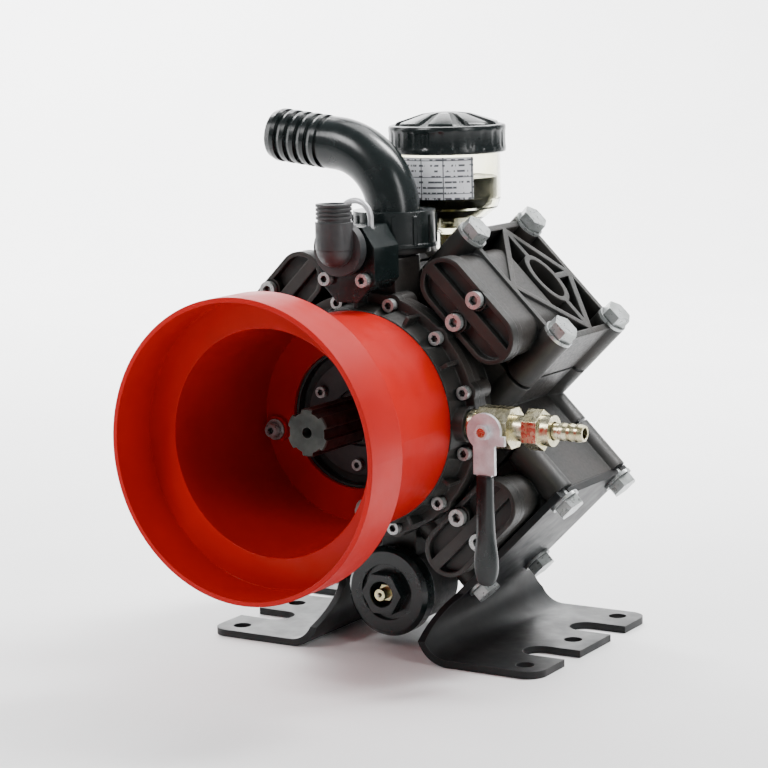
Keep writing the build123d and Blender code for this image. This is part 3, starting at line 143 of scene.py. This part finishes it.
class Paint:
    """Builds one procedural material: colour variation, grain, lighter edges (worn paint, partly a painted
    highlight), painted shade in hollows and roughness variation.
    """

    def __init__(self, name, colour, rough, metallic=0.0, specular=0.5):
        self.mat = bpy.data.materials.new(name)
        self.mat.use_nodes = True
        self.tree = self.mat.node_tree
        self.shader = self.tree.nodes["Principled BSDF"]
        self.shader.inputs["Base Color"].default_value = (*colour, 1.0)
        self.shader.inputs["Metallic"].default_value = metallic
        self.shader.inputs["Roughness"].default_value = rough
        self.shader.inputs["Specular IOR Level"].default_value = specular
        self.place = self.node("ShaderNodeTexCoord").outputs["Object"]
        self.normal = None

    def node(self, kind, **values):
        made = self.tree.nodes.new(kind)
        for key, value in values.items():
            setattr(made, key, value)
        return made

    def join(self, source, target):
        self.tree.links.new(source, target)

    def noise(self, scale, detail=3.0, roughness=0.55, stretch=None):
        tex = self.node("ShaderNodeTexNoise")
        tex.inputs["Scale"].default_value = scale
        tex.inputs["Detail"].default_value = detail
        tex.inputs["Roughness"].default_value = roughness
        source = self.place
        if stretch:
            mapping = self.node("ShaderNodeMapping")
            mapping.inputs["Scale"].default_value = stretch
            self.join(source, mapping.inputs["Vector"])
            source = mapping.outputs["Vector"]
        self.join(source, tex.inputs["Vector"])
        return tex.outputs["Fac"]

    def ramp(self, source, low, high, at=(0.3, 0.7)):
        ramp = self.node("ShaderNodeMapRange")
        ramp.inputs["From Min"].default_value = at[0]
        ramp.inputs["From Max"].default_value = at[1]
        ramp.inputs["To Min"].default_value = low
        ramp.inputs["To Max"].default_value = high
        self.join(source, ramp.inputs["Value"])
        return ramp.outputs["Result"]

    def blend(self, factor, first, second):
        mix = self.node("ShaderNodeMix", data_type="RGBA")
        self.join(factor, mix.inputs["Factor"])
        for socket, value in ((mix.inputs[6], first), (mix.inputs[7], second)):
            if isinstance(value, tuple):
                socket.default_value = (*value, 1.0)
            else:
                self.join(value, socket)
        return mix.outputs[2]

    def mottle(self, first, second, scale, detail=3.0):
        """Two shades of one colour, in soft patches."""
        return self.blend(self.ramp(self.noise(scale, detail), 0.0, 1.0, (0.35, 0.65)), first, second)

    def round_edges(self, radius):
        bevel = self.node("ShaderNodeBevel", samples=4)
        bevel.inputs["Radius"].default_value = radius
        self.normal = bevel.outputs["Normal"]
        return self

    def edge_mask(self, radius, low=0.02, high=0.22):
        """1 on edges and 0 on flat ground."""
        bevel = self.node("ShaderNodeBevel", samples=4)
        bevel.inputs["Radius"].default_value = radius
        true = self.node("ShaderNodeNewGeometry").outputs["Normal"]
        dot = self.node("ShaderNodeVectorMath", operation="DOT_PRODUCT")
        self.join(bevel.outputs["Normal"], dot.inputs[0])
        self.join(true, dot.inputs[1])
        gap = self.node("ShaderNodeMath", operation="SUBTRACT")
        gap.inputs[0].default_value = 1.0
        self.join(dot.outputs["Value"], gap.inputs[1])
        return self.ramp(gap.outputs[0], 0.0, 1.0, (low, high))

    def painted_hollow_shade(self, colour, shade, reach, low=0.35, high=0.85):
        """Painted shade: deepens the colour where the surface is closed in, from ambient occlusion."""
        near = self.node("ShaderNodeAmbientOcclusion", samples=6)
        near.inputs["Distance"].default_value = reach
        return self.blend(self.ramp(near.outputs["AO"], 0.0, 1.0, (low, high)), shade, colour)

    def bump(self, height, strength, distance):
        bump = self.node("ShaderNodeBump")
        bump.inputs["Strength"].default_value = strength
        bump.inputs["Distance"].default_value = distance
        self.join(height, bump.inputs["Height"])
        if self.normal:
            self.join(self.normal, bump.inputs["Normal"])
        self.normal = bump.outputs["Normal"]
        return self

    def done(self, colour=None, rough=None):
        if colour is not None:
            self.join(colour, self.shader.inputs["Base Color"])
        if rough is not None:
            self.join(rough, self.shader.inputs["Roughness"])
        if self.normal is not None:
            self.join(self.normal, self.shader.inputs["Normal"])
        return self.mat


def cast_paint():
    p = Paint("cast_paint", (0.022, 0.020, 0.018), 0.40, specular=0.36).round_edges(1.8 * MM)
    body = p.mottle((0.0125, 0.0135, 0.0125), (0.0255, 0.0215, 0.0190), 34.0, 4.0)
    # Lighter edges: partly worn paint, partly a painted highlight where the rounded edges catch light;
    # noise breaks it into patches.
    lighter_edges = p.edge_mask(1.4 * MM)
    wear_and_highlight = p.node("ShaderNodeMath", operation="MULTIPLY")
    p.join(lighter_edges, wear_and_highlight.inputs[0])
    p.join(p.ramp(p.noise(240.0, 5.0), 0.05, 0.55, (0.42, 0.68)), wear_and_highlight.inputs[1])
    colour = p.blend(wear_and_highlight.outputs[0], body, (0.100, 0.088, 0.076))
    # Painted shade: ambient occlusion darkens recesses and gaps between parts towards green-black.
    colour = p.painted_hollow_shade(colour, (0.0035, 0.0055, 0.0050), 9.0 * MM)
    p.bump(p.noise(1500.0, 2.0), 0.32, 0.22 * MM)
    p.bump(p.noise(160.0, 3.0), 0.12, 0.5 * MM)
    return p.done(colour, p.ramp(p.noise(420.0, 3.0), 0.34, 0.52))


def guard_plastic():
    p = Paint("guard_plastic", (0.38, 0.0035, 0.0012), 0.44, specular=0.16).round_edges(1.2 * MM)
    colour = p.mottle((0.43, 0.0040, 0.0013), (0.35, 0.0028, 0.0010), 9.0, 3.0)
    scuff = p.ramp(p.noise(70.0, 6.0, 0.7), 0.0, 0.10, (0.62, 0.8))
    colour = p.blend(scuff, colour, (0.50, 0.02, 0.012))
    p.bump(p.noise(900.0, 3.0), 0.10, 0.15 * MM)
    return p.done(colour, p.ramp(p.noise(55.0, 5.0), 0.36, 0.50))


def zinc():
    p = Paint("zinc_plate", (0.40, 0.42, 0.42), 0.34, metallic=0.6).round_edges(0.4 * MM)
    colour = p.mottle((0.45, 0.47, 0.47), (0.33, 0.35, 0.34), 120.0, 2.0)
    dirt = p.ramp(p.noise(420.0, 4.0, 0.6), 0.0, 0.5, (0.58, 0.74))
    colour = p.blend(dirt, colour, (0.17, 0.175, 0.165))
    # Painted shade: ambient occlusion darkens the screw sockets and recesses.
    colour = p.painted_hollow_shade(colour, (0.012, 0.014, 0.013), 4.0 * MM, 0.45, 0.80)
    p.bump(p.noise(1900.0, 2.0), 0.05, 0.1 * MM)
    return p.done(colour, p.ramp(p.noise(260.0, 3.0), 0.24, 0.38))


def machined_steel():
    p = Paint("machined_steel", (0.42, 0.42, 0.39), 0.34, metallic=1.0).round_edges(0.5 * MM)
    turned = p.ramp(p.noise(40.0, 2.0, stretch=(4.0, 60.0, 4.0)), 0.0, 1.0, (0.3, 0.7))
    colour = p.blend(turned, (0.46, 0.46, 0.42), (0.28, 0.28, 0.26))
    p.bump(p.noise(60.0, 2.0, stretch=(3.0, 90.0, 3.0)), 0.10, 0.1 * MM)
    return p.done(colour, p.ramp(p.noise(260.0, 4.0), 0.26, 0.46))


def shaft_steel():
    p = Paint("oiled_shaft_steel", (0.055, 0.060, 0.056), 0.46, metallic=0.5, specular=0.3)
    p.round_edges(0.6 * MM)
    colour = p.mottle((0.070, 0.077, 0.070), (0.036, 0.041, 0.038), 90.0, 4.0)
    lighter_edges = p.edge_mask(0.9 * MM)
    colour = p.blend(lighter_edges, colour, (0.19, 0.20, 0.185))
    p.bump(p.noise(700.0, 4.0), 0.12, 0.12 * MM)
    return p.done(colour, p.ramp(p.noise(300.0, 4.0), 0.40, 0.56))


def black_gloss():
    p = Paint("black_gloss", (0.004, 0.007, 0.007), 0.24, specular=0.42).round_edges(0.9 * MM)
    colour = p.mottle((0.003, 0.006, 0.006), (0.007, 0.011, 0.011), 26.0, 4.0)
    p.bump(p.noise(40.0, 2.0), 0.05, 0.6 * MM)
    p.bump(p.noise(1300.0, 2.0), 0.03, 0.1 * MM)
    return p.done(colour, p.ramp(p.noise(70.0, 4.0), 0.18, 0.30))


def black_satin():
    p = Paint("black_satin", (0.022, 0.023, 0.024), 0.42).round_edges(0.9 * MM)
    colour = p.mottle((0.017, 0.020, 0.021), (0.034, 0.033, 0.034), 60.0, 4.0)
    p.bump(p.noise(1200.0, 3.0), 0.22, 0.15 * MM)
    return p.done(colour, p.ramp(p.noise(200.0, 4.0), 0.36, 0.56))


def foot_paint():
    p = Paint("foot_paint", (0.007, 0.008, 0.009), 0.40, specular=0.20).round_edges(0.8 * MM)
    colour = p.mottle((0.008, 0.010, 0.011), (0.017, 0.016, 0.016), 18.0, 4.0)
    lighter_edges = p.edge_mask(0.8 * MM)
    colour = p.blend(lighter_edges, colour, (0.075, 0.075, 0.075))
    p.bump(p.noise(700.0, 3.0), 0.14, 0.2 * MM)
    p.bump(p.noise(30.0, 2.0), 0.05, 0.6 * MM)
    return p.done(colour, p.ramp(p.noise(60.0, 5.0), 0.36, 0.50))


def clear_cup():
    p = Paint("clear_cup", (0.93, 0.92, 0.80), 0.03, specular=0.35)
    p.shader.inputs["Transmission Weight"].default_value = 1.0
    p.shader.inputs["IOR"].default_value = 1.2
    smear = p.ramp(p.noise(45.0, 5.0), 0.0, 1.0, (0.4, 0.75))
    colour = p.blend(smear, (0.94, 0.93, 0.82), (0.86, 0.84, 0.66))
    p.bump(p.noise(70.0, 2.0), 0.03, 0.3 * MM)
    return p.done(colour, p.ramp(p.noise(90.0, 5.0), 0.01, 0.05))


def dark_oil():
    p = Paint("dark_oil", (0.008, 0.009, 0.005), 0.14, specular=0.3)
    colour = p.mottle((0.004, 0.006, 0.004), (0.013, 0.013, 0.007), 30.0, 3.0)
    return p.done(colour, p.ramp(p.noise(140.0, 3.0), 0.06, 0.18))


def pale_brass():
    p = Paint("pale_brass", (0.70, 0.66, 0.48), 0.24, metallic=1.0).round_edges(0.5 * MM)
    colour = p.mottle((0.66, 0.62, 0.46), (0.48, 0.43, 0.25), 110.0, 4.0)
    dirt = p.ramp(p.noise(420.0, 6.0, 0.7), 0.0, 0.6, (0.55, 0.74))
    colour = p.blend(dirt, colour, (0.24, 0.21, 0.13))
    p.bump(p.noise(1200.0, 3.0), 0.14, 0.12 * MM)
    return p.done(colour, p.ramp(p.noise(300.0, 4.0), 0.16, 0.38))


def yellow_zinc():
    p = Paint("yellow_zinc", (0.72, 0.66, 0.34), 0.30, metallic=1.0).round_edges(0.5 * MM)
    colour = p.mottle((0.78, 0.72, 0.42), (0.52, 0.50, 0.30), 150.0, 4.0)
    p.bump(p.noise(1100.0, 3.0), 0.14, 0.12 * MM)
    return p.done(colour, p.ramp(p.noise(320.0, 4.0), 0.20, 0.42))


def white_zinc():
    p = Paint("white_zinc", (0.80, 0.80, 0.81), 0.38, metallic=0.55).round_edges(0.6 * MM)
    colour = p.mottle((0.66, 0.66, 0.68), (0.50, 0.50, 0.52), 130.0, 4.0)
    dirt = p.ramp(p.noise(600.0, 5.0, 0.7), 0.0, 0.55, (0.58, 0.76))
    colour = p.blend(dirt, colour, (0.30, 0.29, 0.28))
    p.bump(p.noise(1500.0, 3.0), 0.12, 0.12 * MM)
    return p.done(colour, p.ramp(p.noise(300.0, 4.0), 0.28, 0.5))


def seal_rubber():
    p = Paint("seal_rubber", (0.018, 0.018, 0.018), 0.55).round_edges(0.5 * MM)
    colour = p.mottle((0.014, 0.014, 0.014), (0.030, 0.029, 0.028), 90.0, 4.0)
    p.bump(p.noise(1500.0, 3.0), 0.2, 0.12 * MM)
    return p.done(colour, p.ramp(p.noise(240.0, 4.0), 0.45, 0.66))


def liner_alloy():
    p = Paint("liner_alloy", (0.60, 0.61, 0.62), 0.32, metallic=1.0).round_edges(0.6 * MM)
    colour = p.mottle((0.66, 0.67, 0.68), (0.50, 0.51, 0.52), 70.0, 3.0)
    p.bump(p.noise(900.0, 3.0), 0.12, 0.12 * MM)
    return p.done(colour, p.ramp(p.noise(240.0, 4.0), 0.24, 0.44))


def printed_label():
    """White plastic label ruled like a table, with plain bars where a maker would print words."""
    p = Paint("printed_label", (0.80, 0.81, 0.83), 0.34)
    split = p.node("ShaderNodeSeparateXYZ")
    p.join(p.place, split.inputs[0])

    def lines(axis, pitch, width):
        scaled = p.node("ShaderNodeMath", operation="MULTIPLY")
        scaled.inputs[1].default_value = 1.0 / pitch
        p.join(split.outputs[axis], scaled.inputs[0])
        part = p.node("ShaderNodeMath", operation="FRACT")
        p.join(scaled.outputs[0], part.inputs[0])
        return p.ramp(part.outputs[0], 1.0, 0.0, (width, width + 0.03))

    def both(first, second, operation):
        made = p.node("ShaderNodeMath", operation=operation)
        p.join(first, made.inputs[0])
        p.join(second, made.inputs[1])
        return made.outputs[0]

    text = both(lines("Z", 4.2 * MM, 0.34), p.ramp(p.noise(330.0, 2.0, stretch=(1.0, 1.0, 0.25)), 0.0, 1.0,
                                                 (0.47, 0.50)), "MULTIPLY")
    rules = both(lines("Z", 12.6 * MM, 0.035), lines("X", 17.0 * MM, 0.03), "MAXIMUM")
    ink = both(text, rules, "MAXIMUM")
    colour = p.blend(ink, (0.78, 0.79, 0.82), (0.085, 0.09, 0.10))
    p.bump(p.noise(400.0, 2.0), 0.05, 0.1 * MM)
    return p.done(colour, p.ramp(p.noise(120.0, 3.0), 0.28, 0.42))


def pale_floor():
    p = Paint("pale_floor", (0.86, 0.86, 0.86), 0.55)
    colour = p.mottle((0.87, 0.87, 0.87), (0.84, 0.84, 0.845), 3.0, 3.0)
    p.bump(p.noise(300.0, 2.0), 0.03, 0.2 * MM)
    return p.done(colour)


FINISH = {
    "cast": cast_paint(), "guard": guard_plastic(), "zinc": zinc(), "steel": machined_steel(),
    "shaft": shaft_steel(), "gloss": black_gloss(), "satin": black_satin(), "foot": foot_paint(),
    "cup": clear_cup(), "oil": dark_oil(), "brass": pale_brass(), "yellow": yellow_zinc(),
    "white": white_zinc(), "rubber": seal_rubber(), "alloy": liner_alloy(), "label": printed_label(),
}

NODE_FINISH = {
    "guard": ["pto_guard"],
    "zinc": ["cover_screws", "guard_screws", "valve_cover_screws", "head_bolts", "retainer_screws"],
    "shaft": ["crankshaft"],
    "gloss": ["suction_elbow", "suction_ring_nut", "damper_cap", "oil_cap", "lever_grip", "delivery_block"],
    "satin": ["outlet_elbow", "seal_retainer"],
    "foot": ["foot_left", "foot_right"],
    "cup": ["oil_cup"],
    "brass": ["valve_body", "union_nut", "hose_tail", "valve_ball", "bearing_cages"],
    "yellow": ["oil_cup_nipple", "air_valve_body"],
    "white": ["outlet_clip", "valve_lever", "lever_nut"],
    "rubber": ["shaft_seal", "o_rings", "diaphragms", "oil_cap_gasket"],
    "alloy": ["cylinder_liners", "valve_cartridges"],
    "steel": ["eccentric_ring", "bearing_inner_rings", "bearing_outer_rings", "bearing_balls",
              "air_valve_pin", "valve_springs"],
    "cast": ["crankcase", "front_cover", "rear_cover", "valve_covers"],
}


def finish_nodes():
    for name in NODES:
        if name.startswith("head_") and name != "head_bolts":
            NODE_FINISH["cast"].append(name)
        elif name.startswith("piston_"):
            NODE_FINISH["alloy"].append(name)
        elif "_poppet_" in name:
            NODE_FINISH["steel"].append(name)
    for key, names in NODE_FINISH.items():
        for name in names:
            mesh = NODES[name].data
            mesh.materials.clear()
            mesh.materials.append(FINISH[key])


def piece(obj, finish, body):
    obj.data.materials.clear()
    obj.data.materials.append(FINISH[finish])
    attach(obj, body)
    return obj


# ---- the oil cup: oil, label and a moulded cap ----

def middle(node):
    low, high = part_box(node)
    return [(a + b) / 2 for a, b in zip(low, high)]


CUP_LOW, CUP_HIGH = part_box("oil_cup")
CUP_MID = middle("oil_cup")
CUP_R = (CUP_HIGH[0] - CUP_LOW[0]) / 2
OIL_R = CUP_R - 2.5 * MM
OIL_LEVEL = CUP_HIGH[2] - 24 * MM
LABEL_FROM, LABEL_TO = math.radians(-148), math.radians(-32)
LABEL_FOOT, LABEL_HEAD = CUP_LOW[2] + 41 * MM, CUP_HIGH[2] - 7 * MM
LABEL_GAP, LABEL_T = 0.05 * MM, 0.3 * MM
CAP_BORE_GAP, CAP_ROOF_GAP = 0.4 * MM, 3.2 * MM
CAP_FLUTES, FLUTE_DEPTH = 24, 0.35 * MM
DOME_RISE = 3.5 * MM
CAP_FACETS = 8


def add_oil():
    z0 = CUP_LOW[2]
    profile = [(0.0, z0 + 17 * MM), (10 * MM, z0 + 17.5 * MM), (CUP_R * 0.70 - 3 * MM, z0 + 27.5 * MM),
               (CUP_R * 0.91 - 3 * MM, z0 + 34.5 * MM), (OIL_R, z0 + 41 * MM), (OIL_R, OIL_LEVEL),
               (OIL_R - 1.2 * MM, OIL_LEVEL - 0.6 * MM), (0.0, OIL_LEVEL - 0.8 * MM)]
    oil = lathe("oil_in_cup", profile, CUP_MID)
    crease_by_angle(oil, 50.0)
    piece(oil, "oil", "pump")


def add_label():
    """A printed film wrapped round the front of the cup."""
    steps, rows = 48, 6
    inner = CUP_R + LABEL_GAP
    outer = inner + LABEL_T
    verts = []
    for radius in (outer, inner):
        for i in range(steps + 1):
            a = LABEL_FROM + (LABEL_TO - LABEL_FROM) * i / steps
            for j in range(rows + 1):
                z = LABEL_FOOT + (LABEL_HEAD - LABEL_FOOT) * j / rows
                verts.append((CUP_MID[0] + radius * math.cos(a), CUP_MID[1] + radius * math.sin(a), z))
    n = rows + 1
    shift = (steps + 1) * n
    faces = []
    for i in range(steps):
        for j in range(rows):
            a, b, c, d = i * n + j, (i + 1) * n + j, (i + 1) * n + j + 1, i * n + j + 1
            faces.append((a, b, c, d))
            faces.append((shift + a, shift + d, shift + c, shift + b))
        faces.append((i * n, shift + i * n, shift + (i + 1) * n, (i + 1) * n))
        top = i * n + rows
        faces.append((top, top + n, shift + top + n, shift + top))
    for j in range(rows):
        faces.append((j, j + 1, shift + j + 1, shift + j))
        last = steps * n + j
        faces.append((last, shift + last, shift + last + 1, last + 1))
    label = mesh_object("cup_label", verts, faces)
    crease_by_angle(label)
    piece(label, "label", "pump")


def add_cap():
    """The black cap: a band with faint grip flutes, a rolled rim and a dome of eight sloping facets."""
    low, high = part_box("oil_cap")
    mid = middle("oil_cap")
    radius = (high[0] - low[0]) / 2
    top = high[2] + DOME_RISE
    rim = high[2] - 6.4 * MM
    inner = CUP_R + CAP_BORE_GAP
    under = CUP_HIGH[2] + CAP_ROOF_GAP
    profile = [(0.0, under), (inner, under), (inner, low[2] + 0.8 * MM), (inner + 0.8 * MM, low[2]),
               (radius - 1.4 * MM, low[2]), (radius - 0.5 * MM, low[2] + 0.7 * MM),
               (radius - 0.3 * MM, low[2] + 3.6 * MM), (radius - 0.9 * MM, low[2] + 4.6 * MM),
               (radius - 1.1 * MM, low[2] + 6.6 * MM), (radius - 1.1 * MM, rim - 5.4 * MM),
               (radius - 0.8 * MM, rim - 4.4 * MM), (radius - 0.4 * MM, rim - 3.2 * MM),
               (radius - 0.4 * MM, rim - 1.4 * MM), (radius - 1.2 * MM, rim - 0.2 * MM),
               (radius - 3.2 * MM, rim + 0.3 * MM), (radius - 4.6 * MM, rim - 0.5 * MM),
               (radius - 6.4 * MM, rim - 0.6 * MM), (radius - 16.0 * MM, rim + 1.6 * MM),
               (radius - 28.0 * MM, top - 3.0 * MM), (12.0 * MM, top - 1.4 * MM),
               (10.0 * MM, top - 0.5 * MM), (8.0 * MM, top), (4.0 * MM, top - 0.2 * MM),
               (0.0, top - 0.2 * MM)]
    fluted = (7, 8, 9, 10)

    def wave(angle, i):
        if i in fluted:
            return FLUTE_DEPTH * max(-0.6, min(0.8, 2.4 * math.cos(CAP_FLUTES * angle) + 1.2))
        return 0.0

    cap = lathe("oil_cap_moulded", profile, mid, 288, wave)
    crease_by_angle(cap, 38.0)
    piece(cap, "gloss", "cap")
    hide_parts("oil_cap")
    for k in range(CAP_FACETS):
        piece(cap_facet(k, mid, radius, rim, top), "gloss", "cap")


def cap_facet(k, mid, radius, rim, top):
    """One sloping facet of the dome: wide and low at the rim, narrow and high at the middle."""
    a = TAU * (k + 0.5) / CAP_FACETS
    half = TAU / CAP_FACETS * 0.36
    stations = [(radius - 5.6 * MM, rim - 1.4 * MM, rim + 0.4 * MM),
                (radius - 7.0 * MM, rim - 1.4 * MM, rim + 2.4 * MM),
                (radius - 16.0 * MM, rim - 0.4 * MM, rim + 5.2 * MM),
                (radius - 27.0 * MM, top - 6.0 * MM, top - 1.2 * MM),
                (9.5 * MM, top - 3.0 * MM, top - 0.2 * MM)]
    across = 5
    verts = []
    for r, z0, z1 in stations:
        for z, shrink in ((z0, 1.0), (z1, 0.84)):
            for j in range(across):
                t = (2.0 * j / (across - 1) - 1.0) * half * shrink
                verts.append((mid[0] + r * math.cos(a + t), mid[1] + r * math.sin(a + t), z))
    ring = 2 * across
    faces = []
    for i in range(len(stations) - 1):
        o, n = i * ring, (i + 1) * ring
        for j in range(across - 1):
            faces.append((o + across + j, o + across + j + 1, n + across + j + 1, n + across + j))
            faces.append((o + j, n + j, n + j + 1, o + j + 1))
        faces.append((o, o + across, n + across, n))
        faces.append((o + across - 1, n + across - 1, n + ring - 1, o + ring - 1))
    last = (len(stations) - 1) * ring
    for o in (0, last):
        for j in range(across - 1):
            faces.append((o + j, o + j + 1, o + across + j + 1, o + across + j))
    facet = mesh_object(f"oil_cap_facet_{k + 1}", verts, faces)
    soften(facet, 0.5 * MM, 3)
    return facet


# ---- the lever's grip ----

def add_grip():
    """A dipped grip: slim below the lever's head and swelling into a rounded end."""
    low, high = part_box("lever_grip")
    mid = middle("lever_grip")
    length = high[2] - low[2]
    half_w = (high[0] - low[0]) / 2
    half_t = (high[1] - low[1]) / 2
    stations = [(0.0, 0.30, 0.40), (0.012, 0.52, 0.62), (0.04, 0.74, 0.82), (0.10, 0.92, 0.96),
                (0.18, 1.0, 1.0), (0.26, 0.97, 1.0), (0.36, 0.84, 0.94), (0.46, 0.74, 0.88),
                (0.60, 0.70, 0.84), (0.80, 0.68, 0.82), (0.94, 0.68, 0.82), (0.985, 0.66, 0.80),
                (1.0, 0.60, 0.72)]
    sides = 40
    verts = []
    for t, w, d in stations:
        z = low[2] + t * length
        for s in range(sides):
            a = TAU * s / sides
            cx, sx = math.cos(a), math.sin(a)
            x = mid[0] + half_w * w * math.copysign(abs(cx) ** 0.72, cx)
            y = mid[1] + half_t * d * math.copysign(abs(sx) ** 0.62, sx)
            verts.append((x, y, z))
    faces = []
    for k in range(len(stations) - 1):
        for s in range(sides):
            t = (s + 1) % sides
            faces.append((k * sides + s, k * sides + t, (k + 1) * sides + t, (k + 1) * sides + s))
    faces.append(tuple(reversed(range(sides))))
    faces.append(tuple((len(stations) - 1) * sides + s for s in range(sides)))
    grip = mesh_object("lever_grip_dipped", verts, faces)
    smooth = grip.modifiers.new("smooth", "SUBSURF")
    smooth.levels = 1
    smooth.render_levels = 2
    piece(grip, "gloss", "lever")
    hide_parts("lever_grip")


# ---- light and floor ----

FLOOR_GAP = 0.2 * MM

def add_floor():
    """A floor that bends up into a backdrop behind the object."""
    z = cad_box[0][2] - FLOOR_GAP
    near, depth, width, rise = -4.0, 2.2, 8.0, 3.5
    steps = 16
    bend = 1.2
    verts = []
    away = Vector((LOOK[0], LOOK[1], 0)).normalized()
    across = Vector((away[1], -away[0], 0))
    line = [(near, 0.0), (depth, 0.0)]
    for i in range(1, steps + 1):
        a = math.pi / 2 * i / steps
        line.append((depth + bend * math.sin(a), bend * (1 - math.cos(a))))
    line.append((depth + bend, rise))
    for s, h in line:
        for side in (-1, 1):
            verts.append(away * s + across * side * width / 2 + Vector((0, 0, z + h)))
    faces = []
    for i in range(len(line) - 1):
        faces.append((2 * i, 2 * i + 1, 2 * i + 3, 2 * i + 2))
    floor = mesh_object("floor", verts, faces)
    floor.data.materials.append(pale_floor())


def area_light(name, place, target, size, power):
    data = bpy.data.lights.new(name, "AREA")
    data.shape = "RECTANGLE"
    data.size, data.size_y = size
    data.energy = power
    light = bpy.data.objects.new(name, data)
    aim = Vector(target) - Vector(place)
    turn = aim.to_track_quat("-Z", "Y").to_matrix().to_4x4()
    light.matrix_world = Matrix.Translation(Vector(place)) @ turn
    bpy.context.collection.objects.link(light)


def add_light():
    world = bpy.data.worlds.new("studio")
    world.use_nodes = True
    world.node_tree.nodes["Background"].inputs["Color"].default_value = (0.97, 0.98, 1.0, 1.0)
    world.node_tree.nodes["Background"].inputs["Strength"].default_value = 0.32
    bpy.context.scene.world = world
    target = (0.0, 0.0, 0.2)
    area_light("key", (-0.7, -1.7, 1.7), target, (0.8, 0.7), 34.0)
    area_light("right", (1.9, -0.6, 1.0), target, (0.4, 1.3), 17.0)
    area_light("left", (-1.7, -0.5, 0.7), target, (0.4, 1.3), 10.0)
    area_light("top", (0.2, 0.5, 1.8), target, (1.4, 1.0), 24.0)
    wall = Vector((LOOK[0], LOOK[1], 0)).normalized() * 3.4
    for side, x in (("left", -1.9), ("right", 0.9)):
        area_light(f"backdrop_{side}", (x, 1.2, 2.2), (wall[0], wall[1], 0.6), (1.6, 1.0), 230.0)


add_camera()
finish_nodes()
add_floor()
add_light()
add_oil()
add_label()
add_cap()
add_grip()
